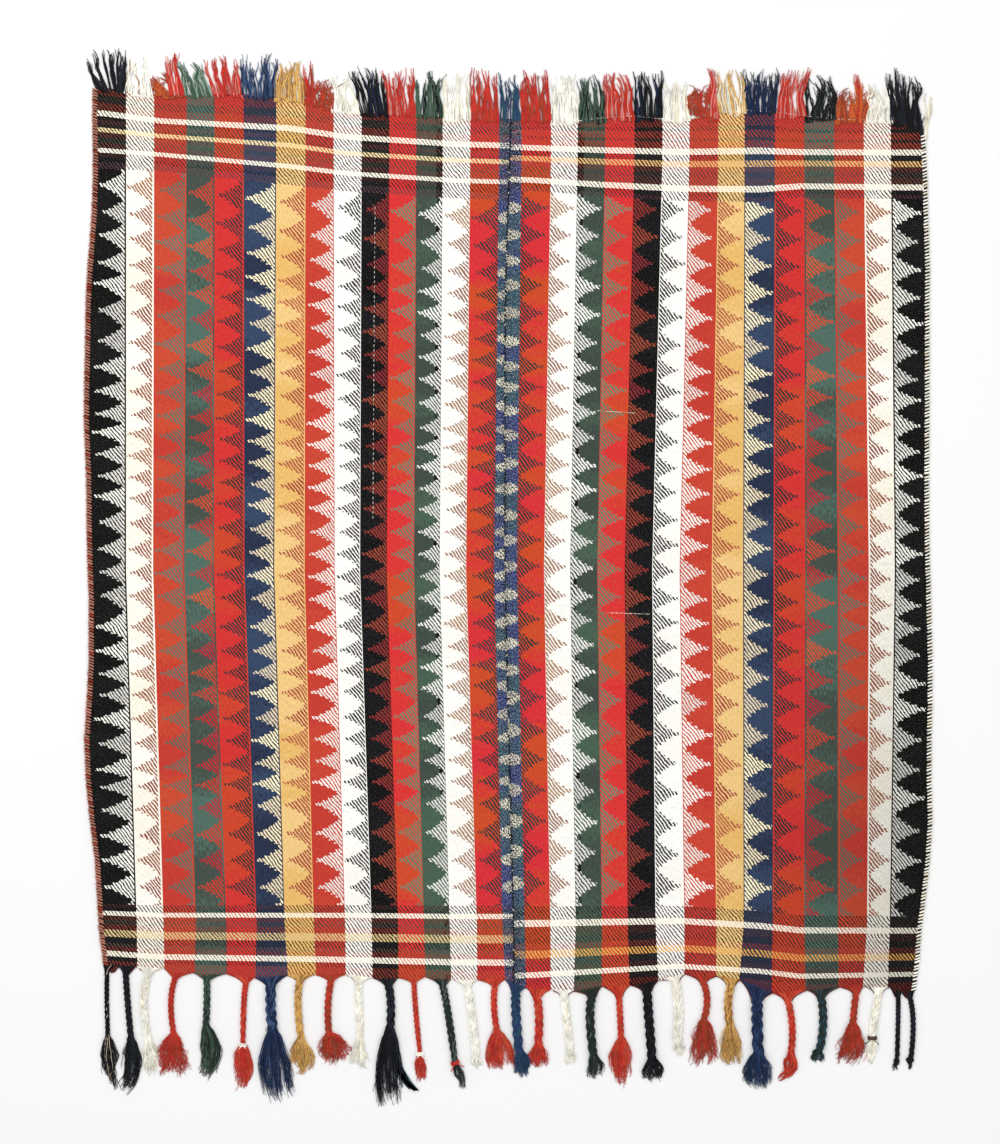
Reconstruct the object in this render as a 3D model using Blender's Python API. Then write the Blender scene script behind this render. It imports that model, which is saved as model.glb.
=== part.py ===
"""Flatweave rug: two hand-loomed widths of striped wool twill, stitched together along the middle.

The rug lies flat. The warps end in a cut fringe at the top, and at the bottom they are gathered into
plaits with tassels. Both selvedges are overcast. Lengths are in metres unless a name says otherwise.
Places on the rug are plan points, x to the right and y down, in plan units.
"""

import math

import bmesh
import bpy

# Driving sizes
LOOM_WIDTH = 0.75
CLOTH_THICK = 0.0022
CLOTH_UNEVEN = 0.00035
OVERCAST_LEFT_WIDE = 0.0105
OVERCAST_RIGHT_WIDE = 0.009
OVERCAST_TALL = 0.0036
SEAM_WIDE = 0.005
SEAM_TALL = 0.0029
SEAM_BUMP = 0.0003
STRIP_DEEP = 0.006
GAP = 0.0004
LOCK_INSET = 0.0003
LOCK_APART = 0.0011
FRINGE_TALL = 0.0021
TASSEL_LEAST_TALL = 0.001
PLAIT_TURN = 0.0125
TIE_LONG = 0.0045
TIE_YARN = 0.0009
TIE_CLEAR = 0.00035

# A plait's height over its width, its strands' sway and lean to each side by turns as shares of its
# width and height, and how far its round falls towards its sides
PLAIT_FLATNESS = 0.46
PLAIT_SWAY = 0.07
PLAIT_LEAN = 0.16
PLAIT_FALL = 0.7
PLAIT_LEAST_TURNS = 4

# A tied plait narrows to this share of its width, and goes on past its end for this share of the tie
TIE_DRAW_IN = 0.78
TIE_PASSED = 1.5

# The plan: one loom width spans this many plan units, and the rug's middle lies at this plan point
LOOM_WIDTH_UNITS = 421.5
UNIT = LOOM_WIDTH / LOOM_WIDTH_UNITS
MIDDLE_X = 508.0
MIDDLE_Y = 574.5

CLOTH_ROWS = 22
SEAM_STEPS = 2
WAVES_ACROSS = 2.5
WAVES_ALONG = 3.5
WAVE_START = 1.0

# Outline of the woven widths: y, left selvedge, centre seam, right selvedge
EDGES = (
    (84, 92.0, 511.0, 918.0),
    (120, 91.5, 511.0, 925.0),
    (150, 92.0, 510.0, 926.5),
    (180, 92.0, 509.0, 928.0),
    (210, 91.0, 508.0, 928.5),
    (240, 89.0, 507.0, 929.5),
    (270, 86.5, 506.0, 930.5),
    (300, 85.0, 505.5, 930.0),
    (360, 84.0, 505.0, 930.0),
    (420, 83.0, 505.0, 930.0),
    (480, 85.5, 505.0, 929.5),
    (540, 86.0, 505.0, 930.0),
    (600, 88.0, 505.5, 931.5),
    (660, 88.0, 507.0, 933.0),
    (700, 86.0, 508.0, 933.0),
    (740, 83.5, 509.0, 932.0),
    (780, 85.0, 510.0, 932.0),
    (820, 89.0, 511.0, 933.0),
    (860, 94.0, 512.0, 930.5),
    (900, 96.5, 513.0, 926.0),
    (930, 98.0, 513.5, 922.0),
    (960, 102.0, 514.0, 920.0),
    (1000, 104.0, 514.0, 915.0),
)

# Cut fringe over each stripe, left to right: yarn, root y, tip y, first and last tip x, locks
FRINGE = (
    ("black", 88, 50, 86, 97, 2),
    ("black", 89, 48, 101, 127, 2),
    ("white", 95, 54, 130, 147, 3),
    ("orange", 94, 60, 150, 175, 3),
    ("green", 96, 61, 178, 198, 3),
    ("red", 92, 55, 202, 236, 3),
    ("navy", 96, 54, 240, 275, 3),
    ("yellow", 99, 60, 279, 301, 3),
    ("red", 103, 79, 304, 331, 3),
    ("white", 114, 74, 334, 346, 2),
    ("black", 113, 67, 350, 382, 3),
    ("red", 113, 67, 386, 413, 3),
    ("green", 115, 69, 417, 441, 3),
    ("white", 120, 71, 445, 468, 3),
    ("red", 118, 68, 472, 496, 3),
    ("blue", 119, 72, 500, 504, 1),
    ("blue", 119, 72, 511, 515, 1),
    ("red", 118, 69, 519, 549, 3),
    ("white", 125, 73, 553, 575, 3),
    ("green", 118, 73, 579, 600, 3),
    ("red", 118, 73, 604, 630, 3),
    ("black", 115, 68, 634, 661, 3),
    ("white", 124, 77, 665, 685, 3),
    ("red", 115, 84, 689, 713, 3),
    ("yellow", 111, 70, 717, 739, 3),
    ("navy", 111, 66, 743, 778, 3),
    ("red", 114, 68, 782, 804, 3),
    ("green", 119, 76, 808, 833, 3),
    ("orange", 120, 88, 837, 867, 3),
    ("white", 121, 82, 871, 884, 2),
    ("black", 122, 69, 888, 903, 2),
    ("black", 127, 76, 907, 919, 2),
)
FRINGES_LEFT = 16
FRINGE_SPLAY_LIMIT = 0.52
# The cut ends' unevenness in plan units, and how fast it changes from stripe to stripe and lock to lock
FRINGE_UNEVEN = 2.5
FRINGE_STRIPE_TURN = 2.1
FRINGE_LOCK_TURN = 1.7

# Left end of the lower edge, then each plait from left to right: yarn, plan points of the right end of
# its gathered root, of its neck, its middle and its end, plait width in mm, tassel tip, tassel width in
# mm, and locks
LOWER_LEFT = (103.0, 966.0)
PLAITS = (
    ("black", (117, 966), (107, 973), (107, 1003), (108, 1036), 10, (111, 1086), 27, 3),
    ("black", (136, 967), (126, 975), (128, 1004), (131, 1037), 13, (128, 1094), 29, 4),
    ("white", (163, 968), (148, 974), (144, 1003), (148, 1038), 15, (150, 1073), 21, 3),
    ("red", (193, 973), (175, 979), (171, 1003), (174, 1034), 12, (173, 1074), 42, 4),
    ("green", (226, 974), (207, 981), (207, 1003), (206, 1025), 14, (210, 1081), 34, 4),
    ("red", (254, 978), (246, 984), (244, 1003), (243, 1044), 12, (243, 1089), 35, 4),
    ("navy", (287, 976), (271, 986), (271, 1009), (273, 1030), 21, (280, 1097), 48, 5),
    ("yellow", (315, 975), (300, 981), (298, 1003), (301, 1038), 15, (300, 1072), 30, 4),
    ("red", (345, 975), (331, 981), (328, 1006), (329, 1033), 14, (337, 1062), 40, 4),
    ("white", (372, 978), (359, 982), (359, 1003), (360, 1039), 14, (360, 1066), 20, 3),
    ("black", (398, 978), (389, 986), (391, 1006), (390, 1029), 17, (392, 1101), 44, 5),
    ("red", (425, 977), (414, 983), (416, 1013), (420, 1053), 11, (423, 1082), 20, 3),
    ("green", (451, 979), (443, 986), (449, 1019), (455, 1062), 15, (464, 1086), 14, 3),
    ("white", (477, 980), (467, 986), (472, 1016), (476, 1056), 16, (477, 1068), 16, 3),
    ("red", (505, 980), (495, 986), (494, 1006), (497, 1031), 13, (500, 1069), 40, 4),
    ("blue", (526, 988), (516, 992), (516, 1014), (519, 1051), 19, (525, 1076), 20, 3),
    ("red", (551, 990), (537, 997), (539, 1018), (538, 1044), 17, (539, 1066), 26, 4),
    ("white", (574, 991), (564, 995), (567, 1021), (570, 1048), 15, (570, 1064), 14, 3),
    ("green", (602, 986), (592, 996), (590, 1018), (593, 1052), 18, (595, 1077), 21, 3),
    ("red", (630, 985), (619, 997), (620, 1016), (621, 1038), 13, (620, 1085), 36, 4),
    ("black", (659, 980), (647, 991), (649, 1021), (652, 1058), 19, (655, 1080), 28, 4),
    ("white", (685, 974), (675, 980), (678, 1006), (677, 1040), 18, (680, 1055), 16, 3),
    ("red", (717, 976), (703, 982), (707, 999), (704, 1019), 14, (701, 1064), 36, 4),
    ("yellow", (740, 980), (731, 985), (728, 1003), (730, 1026), 17, (729, 1062), 34, 4),
    ("navy", (773, 993), (757, 1000), (757, 1021), (758, 1053), 23, (757, 1086), 42, 5),
    ("red", (807, 990), (788, 1001), (792, 1026), (791, 1052), 14, (784, 1079), 25, 4),
    ("green", (840, 987), (821, 997), (823, 1021), (820, 1048), 17, (816, 1063), 18, 3),
    ("red", (864, 986), (856, 993), (854, 1009), (853, 1022), 14, (847, 1062), 36, 4),
    ("white", (889, 987), (878, 993), (875, 1013), (872, 1037), 15, (871, 1062), 19, 3),
    ("black", (903, 991), (898, 997), (898, 1018), (897, 1056), 10, (894, 1070), 9, 3),
    ("black", (915, 991), (910, 998), (913, 1023), (911, 1056), 11, (909, 1069), 12, 3),
)
SEAM_PLAIT = 15
FAN_STEPS = (0.0, 0.28, 0.6)
FAN_DRAW_IN = 1.9

# Plaits with yarn tied round their ends, and the yarn
TIES = {6: "white", 12: "white", 13: "red", 29: "brown"}

# Share of a tassel's length, and there its share of the full width, of a lock's own width and of the
# plait's height
TASSEL_SECTIONS = (
    (0.28, 0.72, 1.0, 0.95),
    (0.62, 1.0, 1.0, 0.8),
    (1.0, 0.9, 0.4, 0.25),
)
# Every second lock of a tassel is shorter, by this share
TASSEL_SHORT = 0.93
# Share of a fringe lock's length, and there its share of its own width and of the fringe's height
FRINGE_SECTIONS = (
    (0.45, 1.0, 1.0),
    (1.0, 0.42, 0.5),
)

# A lock's half width at its foot and at its top, as shares of its width
LOCK_FOOT = 0.5
LOCK_TOP = 0.4

# The round of the overcasting: share of its width from the cloth outwards, and share of its height
OVERCAST_ROUND = (
    (0.0, 0.72),
    (0.22, 1.0),
    (0.72, 0.9),
    (1.0, 0.35),
)
OVERCAST_LEFT_START = 1.0

# Loose end of the right selvedge's overcasting: where the stitches start, and each lock's middle's
# sideways bend, tip, width and height at the middle, and width and height at the tip
LOOSE_END_START_Y = 136.0
LOOSE_END_CLEAR = 2.0
LOOSE_ENDS = (
    (0.0, (927.0, 92.0), (0.0042, 0.003), (0.0015, 0.001)),
    (1.5, (931.0, 98.0), (0.0042, 0.003), (0.0015, 0.001)),
)

COLOURS = {
    "black": (0.012, 0.012, 0.014),
    "white": (0.86, 0.83, 0.74),
    "orange": (0.62, 0.09, 0.03),
    "red": (0.6, 0.035, 0.025),
    "green": (0.045, 0.095, 0.07),
    "navy": (0.02, 0.035, 0.1),
    "blue": (0.045, 0.09, 0.25),
    "yellow": (0.8, 0.45, 0.13),
    "brown": (0.3, 0.12, 0.08),
    "cream": (0.75, 0.68, 0.55),
}
WOOL_ROUGHNESS = 0.9


def clear_scene():
    for thing in list(bpy.data.objects):
        bpy.data.objects.remove(thing, do_unlink=True)


def read_across(table, y, column):
    """The column's value at y, on straight lines between the table's rows."""
    if y <= table[0][0]:
        return table[0][column]
    for upper, lower in zip(table, table[1:]):
        if y <= lower[0]:
            share = (y - upper[0]) / (lower[0] - upper[0])
            return upper[column] + share * (lower[column] - upper[column])
    return table[-1][column]


def between(start, end, share):
    """The plan point at a share of the way from start to end."""
    return (start[0] + share * (end[0] - start[0]), start[1] + share * (end[1] - start[1]))


def placed(point, height):
    """The rug's own coordinates of a plan point."""
    return ((point[0] - MIDDLE_X) * UNIT, (MIDDLE_Y - point[1]) * UNIT, height)


def wool(name, colour):
    material = bpy.data.materials.new(name)
    material.use_nodes = True
    shader = material.node_tree.nodes["Principled BSDF"]
    shader.inputs["Base Color"].default_value = (*COLOURS[colour], 1.0)
    shader.inputs["Roughness"].default_value = WOOL_ROUGHNESS
    shader.inputs["Metallic"].default_value = 0.0
    return material


def finish(mesh, name, colour, rug):
    """Makes the shape one object of the rug, with its own material."""
    bmesh.ops.recalc_face_normals(mesh, faces=mesh.faces[:])
    data = bpy.data.meshes.new(name)
    mesh.to_mesh(data)
    mesh.free()
    data.materials.append(wool(name + "_wool", colour))
    piece = bpy.data.objects.new(name, data)
    rug.objects.link(piece)
    return piece


def slab(rows, heights, arched_rows=()):
    """A closed solid on the floor, whose upper side runs through rows of plan points at the heights.

    Its underside is flat, but for arched_rows, a row number each with the height that it is lifted by.
    """
    last_row = len(rows) - 1
    last_column = len(rows[0]) - 1
    mesh = bmesh.new()
    row_of = mesh.verts.layers.int.new("row")
    column_of = mesh.verts.layers.int.new("column")
    bmesh.ops.create_grid(mesh, x_segments=last_column, y_segments=last_row, size=1.0)
    for vert in mesh.verts:
        row = round((1.0 - vert.co.y) / 2.0 * last_row)
        column = round((vert.co.x + 1.0) / 2.0 * last_column)
        vert[row_of] = row
        vert[column_of] = column
        vert.co = placed(rows[row][column], heights[row][column])
    under = bmesh.ops.extrude_face_region(mesh, geom=mesh.faces[:])["geom"]
    lifted = dict(arched_rows)
    for vert in under:
        if isinstance(vert, bmesh.types.BMVert):
            vert.co.z = lifted.get(vert[row_of], 0.0)
    if not lifted:
        faces = [face for face in under if isinstance(face, bmesh.types.BMFace)]
        bmesh.ops.dissolve_faces(mesh, faces=faces)
    bmesh.ops.recalc_face_normals(mesh, faces=mesh.faces[:])
    return mesh


def end_walls(mesh, row):
    """The upright faces along one end row, from the first column to the last."""
    row_of = mesh.verts.layers.int["row"]
    column_of = mesh.verts.layers.int["column"]
    walls = [face for face in mesh.faces if all(vert[row_of] == row for vert in face.verts)]
    return sorted(walls, key=lambda face: min(vert[column_of] for vert in face.verts))


def grow_lock(mesh, root, sections):
    """Draws a wall face out into one lock. Each section is a plan point, a side direction, a width in
    metres and a height, and the lock's underside lies on the floor."""
    bmesh.ops.inset_individual(mesh, faces=[root], thickness=LOCK_INSET, use_even_offset=True)
    face = root
    for centre, side, wide, tall in sections:
        face = bmesh.ops.extrude_discrete_faces(mesh, faces=[face])["faces"][0]
        middle = face.calc_center_median()
        for vert in face.verts:
            offset = vert.co - middle
            right = offset.x * side[0] - offset.y * side[1] > 0
            upper = offset.z > 0
            half = wide * (LOCK_TOP if upper else LOCK_FOOT) / UNIT * (1 if right else -1)
            point = (centre[0] + side[0] * half, centre[1] + side[1] * half)
            vert.co = placed(point, tall if upper else 0.0)


def stripe_marks(left):
    """Lower ends of a width's stripe boundaries, from its left edge to its right one."""
    marks = [LOWER_LEFT] + [plait[1] for plait in PLAITS]
    before, after = marks[SEAM_PLAIT], marks[SEAM_PLAIT + 1]
    seam_x = read_across(EDGES, before[1], 2) + (-0.5 if left else 0.5) * SEAM_WIDE / UNIT
    seam_mark = between(before, after, (seam_x - before[0]) / (after[0] - before[0]))
    if left:
        return marks[: SEAM_PLAIT + 1] + [seam_mark]
    return [seam_mark] + marks[SEAM_PLAIT + 1 :]


def width_sides(left, y):
    """The woven width's left and right edge at y, between its overcasting and the seam."""
    seam = read_across(EDGES, y, 2)
    if left:
        return (read_across(EDGES, y, 1) + OVERCAST_LEFT_WIDE / UNIT, seam - SEAM_WIDE / 2 / UNIT)
    return (seam + SEAM_WIDE / 2 / UNIT, read_across(EDGES, y, 3) - OVERCAST_RIGHT_WIDE / UNIT)


def stripe_shares(left):
    """Where the stripe boundaries lie across the width, from 0 at its left edge to 1 at its right."""
    marks = stripe_marks(left)
    shares = []
    for x, y in marks[1:-1]:
        low, high = width_sides(left, y)
        shares.append((x - low) / (high - low))
    return [0.0] + shares + [1.0]


def across(left, share, y):
    low, high = width_sides(left, y)
    return low + share * (high - low)


def fringe_rows(left):
    return FRINGE[:FRINGES_LEFT] if left else FRINGE[FRINGES_LEFT:]


def top_line(left):
    """The y of the cloth's upper edge at each stripe boundary."""
    roots = [row[1] for row in fringe_rows(left)]
    inner = [(before + after) / 2 for before, after in zip(roots, roots[1:])]
    return [roots[0]] + inner + [roots[-1]]


def width_grid(left):
    """Rows of plan points over a woven width, from under its fringe strip down to its plaits."""
    shares = stripe_shares(left)
    tops = [y + (STRIP_DEEP + GAP) / UNIT for y in top_line(left)]
    bottoms = [y - GAP / UNIT for x, y in stripe_marks(left)]
    rows = []
    for row in range(CLOTH_ROWS + 1):
        fall = row / CLOTH_ROWS
        ys = [top + fall * (bottom - top) for top, bottom in zip(tops, bottoms)]
        rows.append([(across(left, share, y), y) for share, y in zip(shares, ys)])
    return rows


def cloth_height(point):
    """The cloth's own slight unevenness."""
    x, y = placed(point, 0.0)[:2]
    wave = math.sin(WAVES_ACROSS * math.tau * x + WAVE_START) * math.cos(WAVES_ALONG * math.tau * y)
    return CLOTH_THICK + CLOTH_UNEVEN * wave


def add_width(left, rug):
    rows = width_grid(left)
    heights = [[cloth_height(point) for point in row] for row in rows]
    gap = GAP / UNIT
    for row in rows:
        row[0] = (row[0][0] + gap, row[0][1])
        row[-1] = (row[-1][0] - gap, row[-1][1])
    name = "panel_left" if left else "panel_right"
    finish(slab(rows, heights), name, "red" if left else "orange", rug)


def add_seam(rug):
    """The ridge of stitches between the two widths, high and low by turns."""
    lefts = [row[-1] for row in width_grid(True)]
    rights = [row[0] for row in width_grid(False)]
    lefts = [(lefts[0][0], fringe_rows(True)[-1][1])] + lefts
    rights = [(rights[0][0], fringe_rows(False)[0][1])] + rights
    rows = []
    for row in range(len(lefts) - 1):
        for step in range(SEAM_STEPS):
            share = step / SEAM_STEPS
            one = between(lefts[row], lefts[row + 1], share)
            other = between(rights[row], rights[row + 1], share)
            rows.append([one, between(one, other, 0.5), other])
    rows.append([lefts[-1], between(lefts[-1], rights[-1], 0.5), rights[-1]])
    heights = []
    for number in range(len(rows)):
        ridge = SEAM_TALL + (SEAM_BUMP if number % 2 else 0.0)
        heights.append([CLOTH_THICK, ridge, CLOTH_THICK])
    finish(slab(rows, heights), "centre_seam", "navy", rug)


def overcast_row(edge, wide, outward):
    """One row of plan points over the selvedge's round, from the cloth outwards, and their heights."""
    points = [(edge[0] + outward * share * wide / UNIT, edge[1]) for share, tall in OVERCAST_ROUND]
    return points, [OVERCAST_TALL * tall for share, tall in OVERCAST_ROUND]


def add_overcasting(left, rug):
    rows_of_cloth = width_grid(left)
    edges = [row[0] if left else row[-1] for row in rows_of_cloth]
    wide = OVERCAST_LEFT_WIDE if left else OVERCAST_RIGHT_WIDE
    outward = -1 if left else 1
    if left:
        edges = [(edges[0][0], fringe_rows(True)[0][1] + OVERCAST_LEFT_START)] + edges
    else:
        line = [(y, x) for x, y in edges]
        start = (read_across(line, LOOSE_END_START_Y, 1), LOOSE_END_START_Y)
        edges = [start] + [edge for edge in edges if edge[1] > LOOSE_END_START_Y + LOOSE_END_CLEAR]
    made = [overcast_row(edge, wide, outward) for edge in edges]
    rows = [points if outward > 0 else points[::-1] for points, talls in made]
    heights = [talls if outward > 0 else talls[::-1] for points, talls in made]
    mesh = slab(rows, heights)
    if not left:
        walls = end_walls(mesh, 0)[1:]
        for root, start, loose_end in zip(walls, rows[0][1:], LOOSE_ENDS):
            bowed, tip, middle_size, tip_size = loose_end
            middle = between(start, tip, 0.5)
            middle = (middle[0] + bowed, middle[1])
            sections = [(middle, (1.0, 0.0), *middle_size), (tip, (1.0, 0.0), *tip_size)]
            grow_lock(mesh, root, sections)
    name = "overcast_left" if left else "overcast_right"
    finish(mesh, name, "brown" if left else "cream", rug)


def add_fringe(left, rug):
    """A narrow strip along the cloth's upper edge, with the cut warp locks that grow from it."""
    stripes = fringe_rows(left)
    shares = stripe_shares(left)
    tops = top_line(left)
    upper = []
    tips = []
    for number, (yarn, root_y, tip_y, first_tip, last_tip, locks) in enumerate(stripes):
        start = (across(left, shares[number], tops[number]), tops[number])
        end = (across(left, shares[number + 1], tops[number + 1]), tops[number + 1])
        for lock in range(locks):
            upper.append(between(start, end, lock / locks))
            share = 0.5 if locks == 1 else lock / (locks - 1)
            turn = FRINGE_STRIPE_TURN * number + FRINGE_LOCK_TURN * lock
            tip_x = first_tip + share * (last_tip - first_tip)
            tips.append((tip_x, tip_y + FRINGE_UNEVEN * math.sin(turn)))
    upper.append((across(left, 1.0, tops[-1]), tops[-1]))
    upper[0] = (upper[0][0] + GAP / UNIT, upper[0][1])
    upper[-1] = (upper[-1][0] - GAP / UNIT, upper[-1][1])
    lower = [(x, y + STRIP_DEEP / UNIT) for x, y in upper]
    heights = [[CLOTH_THICK] * len(upper)] * 2
    mesh = slab([upper, lower], heights)
    for number, root in enumerate(end_walls(mesh, 0)):
        base = between(upper[number], upper[number + 1], 0.5)
        root_wide = upper[number + 1][0] - upper[number][0]
        near = [abs(tips[n][0] - tips[number][0]) for n in (number - 1, number + 1) if 0 <= n < len(tips)]
        wide = FRINGE_SPLAY_LIMIT * (root_wide + min(near)) / 2 * UNIT
        sections = []
        for share, width_share, tall_share in FRINGE_SECTIONS:
            centre = between(base, tips[number], share)
            sections.append((centre, (1.0, 0.0), wide * width_share, FRINGE_TALL * tall_share))
        grow_lock(mesh, root, sections)
    finish(mesh, "fringe_left" if left else "fringe_right", "white", rug)


def bend(start, middle, end, share):
    """A point on the smooth curve that passes through middle halfway from start to end."""
    weights = (
        (2 * share - 1) * (share - 1),
        4 * share * (1 - share),
        share * (2 * share - 1),
    )
    points = (start, middle, end)
    x = sum(weight * point[0] for weight, point in zip(weights, points))
    y = sum(weight * point[1] for weight, point in zip(weights, points))
    return (x, y)


def side_of(before, after):
    """The direction square to the way from one plan point to the next, pointing right on a drop."""
    run, drop = after[0] - before[0], after[1] - before[1]
    length = math.hypot(run, drop)
    return (drop / length, -run / length)


def section(centre, side, wide, columns, sway):
    """Plan points across a plait of the given width in metres."""
    points = []
    for column in range(columns + 1):
        reach = (column / columns - 0.5 + sway) * wide / UNIT
        points.append((centre[0] + side[0] * reach, centre[1] + side[1] * reach))
    return points


def round_heights(tall, columns, lean):
    """Heights over a plait's round, a little higher on the side that its strand crosses."""
    heights = []
    for column in range(columns + 1):
        place = 2 * column / columns - 1
        heights.append(tall * (1 - PLAIT_FALL * place * place) * (1 + lean * place))
    return heights


def add_plait(number, left_mark, plait, rug):
    yarn, right_mark, neck, middle, end, wide_mm, tip, tassel_mm, locks = plait
    tied = number in TIES
    wide = wide_mm / 1000
    end_wide = wide * (TIE_DRAW_IN if tied else 1.0)
    tall = wide * PLAIT_FLATNESS
    half_gap = GAP / 2 / UNIT
    left_mark = (left_mark[0] + half_gap, left_mark[1])
    right_mark = (right_mark[0] - half_gap, right_mark[1])
    neck_side = side_of(neck, bend(neck, middle, end, 0.1))
    neck_points = section(neck, neck_side, wide, locks, 0.0)
    rows = []
    heights = []
    for share in FAN_STEPS:
        drawn = 1 - (1 - share) ** FAN_DRAW_IN
        points = []
        talls = []
        for column, neck_tall in enumerate(round_heights(tall, locks, 0.0)):
            edge = between(left_mark, right_mark, column / locks)
            goal = neck_points[column]
            points.append((between(edge, goal, drawn)[0], between(edge, goal, share)[1]))
            talls.append(CLOTH_THICK + share * (neck_tall - CLOTH_THICK))
        rows.append(points)
        heights.append(talls)
    length = math.dist(neck, end) * UNIT
    turns = max(PLAIT_LEAST_TURNS, round(length / PLAIT_TURN))
    arched = ()
    for turn in range(turns + 1):
        share = turn / turns
        centre = bend(neck, middle, end, share)
        side = side_of(bend(neck, middle, end, share - 0.05), bend(neck, middle, end, share + 0.05))
        hand = 1 if turn % 2 else -1
        last = turn == turns
        sway = 0.0 if turn in (0, turns) else PLAIT_SWAY * hand
        rows.append(section(centre, side, end_wide if last else wide, locks, sway))
        heights.append(round_heights(tall, locks, 0.0 if tied and last else PLAIT_LEAN * hand))
    if tied:
        past = between(end, tip, TIE_LONG * TIE_PASSED / UNIT / math.dist(end, tip))
        rows.append(section(past, side_of(end, tip), end_wide, locks, 0.0))
        heights.append(round_heights(tall, locks, 0.0))
        arched = [(len(rows) - 2, TIE_YARN + TIE_CLEAR), (len(rows) - 1, TIE_YARN + TIE_CLEAR)]
    mesh = slab(rows, heights, arched)
    start = between(rows[-1][0], rows[-1][-1], 0.5)
    side = side_of(start, tip)
    for lock, root in enumerate(end_walls(mesh, len(rows) - 1)):
        sections = []
        for share, width_share, own_share, tall_share in TASSEL_SECTIONS:
            reach = share * (1.0 if lock % 2 else TASSEL_SHORT)
            spread = tassel_mm / 1000 * width_share
            centre = between(start, tip, reach)
            offset = ((lock + 0.5) / locks - 0.5) * spread / UNIT
            centre = (centre[0] + side[0] * offset, centre[1] + side[1] * offset)
            lock_wide = (spread / locks - LOCK_APART) * own_share
            sections.append((centre, side, lock_wide, max(TASSEL_LEAST_TALL, tall * tall_share)))
        grow_lock(mesh, root, sections)
    finish(mesh, "plait_%02d" % number, yarn, rug)
    if tied:
        add_tie(number, end, tip, end_wide, tall, rug)


def add_tie(number, end, tip, wide, tall, rug):
    """A band of yarn wound round the plait's end: a block whose ends are inset, opened and bridged."""
    centre = between(end, tip, TIE_LONG * TIE_PASSED / 2 / UNIT / math.dist(end, tip))
    inner_tall = tall + TIE_CLEAR
    mesh = bmesh.new()
    bmesh.ops.create_cube(mesh, size=1.0)
    outer_wide = wide + 2 * (TIE_CLEAR + TIE_YARN)
    outer_tall = inner_tall + TIE_YARN
    bmesh.ops.scale(mesh, vec=(outer_wide, TIE_LONG, outer_tall), verts=mesh.verts[:])
    ends = [face for face in mesh.faces if abs(face.normal.y) > 0.9]
    bmesh.ops.inset_individual(mesh, faces=ends, thickness=TIE_YARN, use_even_offset=True)
    rims = [edge for face in ends for edge in face.edges]
    bmesh.ops.delete(mesh, geom=ends, context="FACES_ONLY")
    bmesh.ops.bridge_loops(mesh, edges=rims)
    piece = finish(mesh, "tie_%02d" % number, TIES[number], rug)
    piece.location = placed(centre, outer_tall / 2)
    piece.rotation_euler.z = math.atan2(tip[0] - end[0], tip[1] - end[1])


def build():
    clear_scene()
    rug = bpy.data.collections.new("flatweave_rug")
    bpy.context.scene.collection.children.link(rug)
    for left in (True, False):
        add_width(left, rug)
        add_overcasting(left, rug)
        add_fringe(left, rug)
    add_seam(rug)
    mark = LOWER_LEFT
    for number, plait in enumerate(PLAITS, start=1):
        add_plait(number, mark, plait, rug)
        mark = plait[1]


build()
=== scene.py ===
"""Dresses the flatweave rug: wool twill with sawtooth stripes, stitched edges, fringe and plaited warps."""

import math

import bpy
import numpy as np
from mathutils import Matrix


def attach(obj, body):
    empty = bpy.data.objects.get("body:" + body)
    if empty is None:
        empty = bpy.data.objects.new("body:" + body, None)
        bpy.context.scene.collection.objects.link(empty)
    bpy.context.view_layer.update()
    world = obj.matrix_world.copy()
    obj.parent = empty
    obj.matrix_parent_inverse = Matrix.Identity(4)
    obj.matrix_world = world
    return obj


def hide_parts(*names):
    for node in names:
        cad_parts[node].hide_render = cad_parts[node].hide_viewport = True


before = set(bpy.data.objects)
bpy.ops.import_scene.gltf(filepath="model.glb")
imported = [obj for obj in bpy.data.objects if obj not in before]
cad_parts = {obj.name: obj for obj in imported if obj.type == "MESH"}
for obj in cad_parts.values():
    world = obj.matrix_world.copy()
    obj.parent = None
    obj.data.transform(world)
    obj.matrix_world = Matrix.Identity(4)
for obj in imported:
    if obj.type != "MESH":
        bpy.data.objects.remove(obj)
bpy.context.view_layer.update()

bl_info = {
    "name": "Flatweave rug",
    "version": (1, 0, 0),
    "blender": (4, 5, 0),
    "location": "3D View > Sidebar > Rug",
    "description": "Weaves, stitches and plaits a flatweave rug on its solids",
    "category": "Object",
}

# Driving sizes, in metres, as in the part's source
LOOM_WIDTH = 0.75
CLOTH_THICK = 0.0022
CLOTH_UNEVEN = 0.00035
OVERCAST_LEFT_WIDE = 0.0105
OVERCAST_RIGHT_WIDE = 0.009
OVERCAST_TALL = 0.0036
SEAM_WIDE = 0.005
SEAM_GAP = 0.0012
PLAIT_FLATNESS = 0.46
TIE_LONG = 0.0045
# Share of an overcasting's width that the cloth doesn't reach
OVERCAST_BARE = 0.85
# Height of the cockles between the stripes, and of the underside over the floor
COCKLE_TALL = 0.00022
UNDERSIDE_LIFT = 0.0002
# Radii of the yarns that the panel doesn't set
SELVEDGE_CORE_RADIUS = 0.0013
SEAM_CORE_RADIUS = 0.0009
SEAM_YARN_RADIUS = 0.0007
TIE_YARN_RADIUS = 0.0009
CORD_YARN_RADIUS = 0.00065
TWINE_YARN_RADIUS = 0.0006
STRAY_RADIUS = 0.0005

HANDS = {True: "left", False: "right"}

# The plan: places are x to the right and y down, in plan units
LOOM_WIDTH_UNITS = 421.5
UNIT = LOOM_WIDTH / LOOM_WIDTH_UNITS
MIDDLE_X = 508.0
MIDDLE_Y = 574.5
VIEW_MIDDLE = (500.0, 572.0)
VIEW_UNITS_TALL = 1144.0

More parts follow.
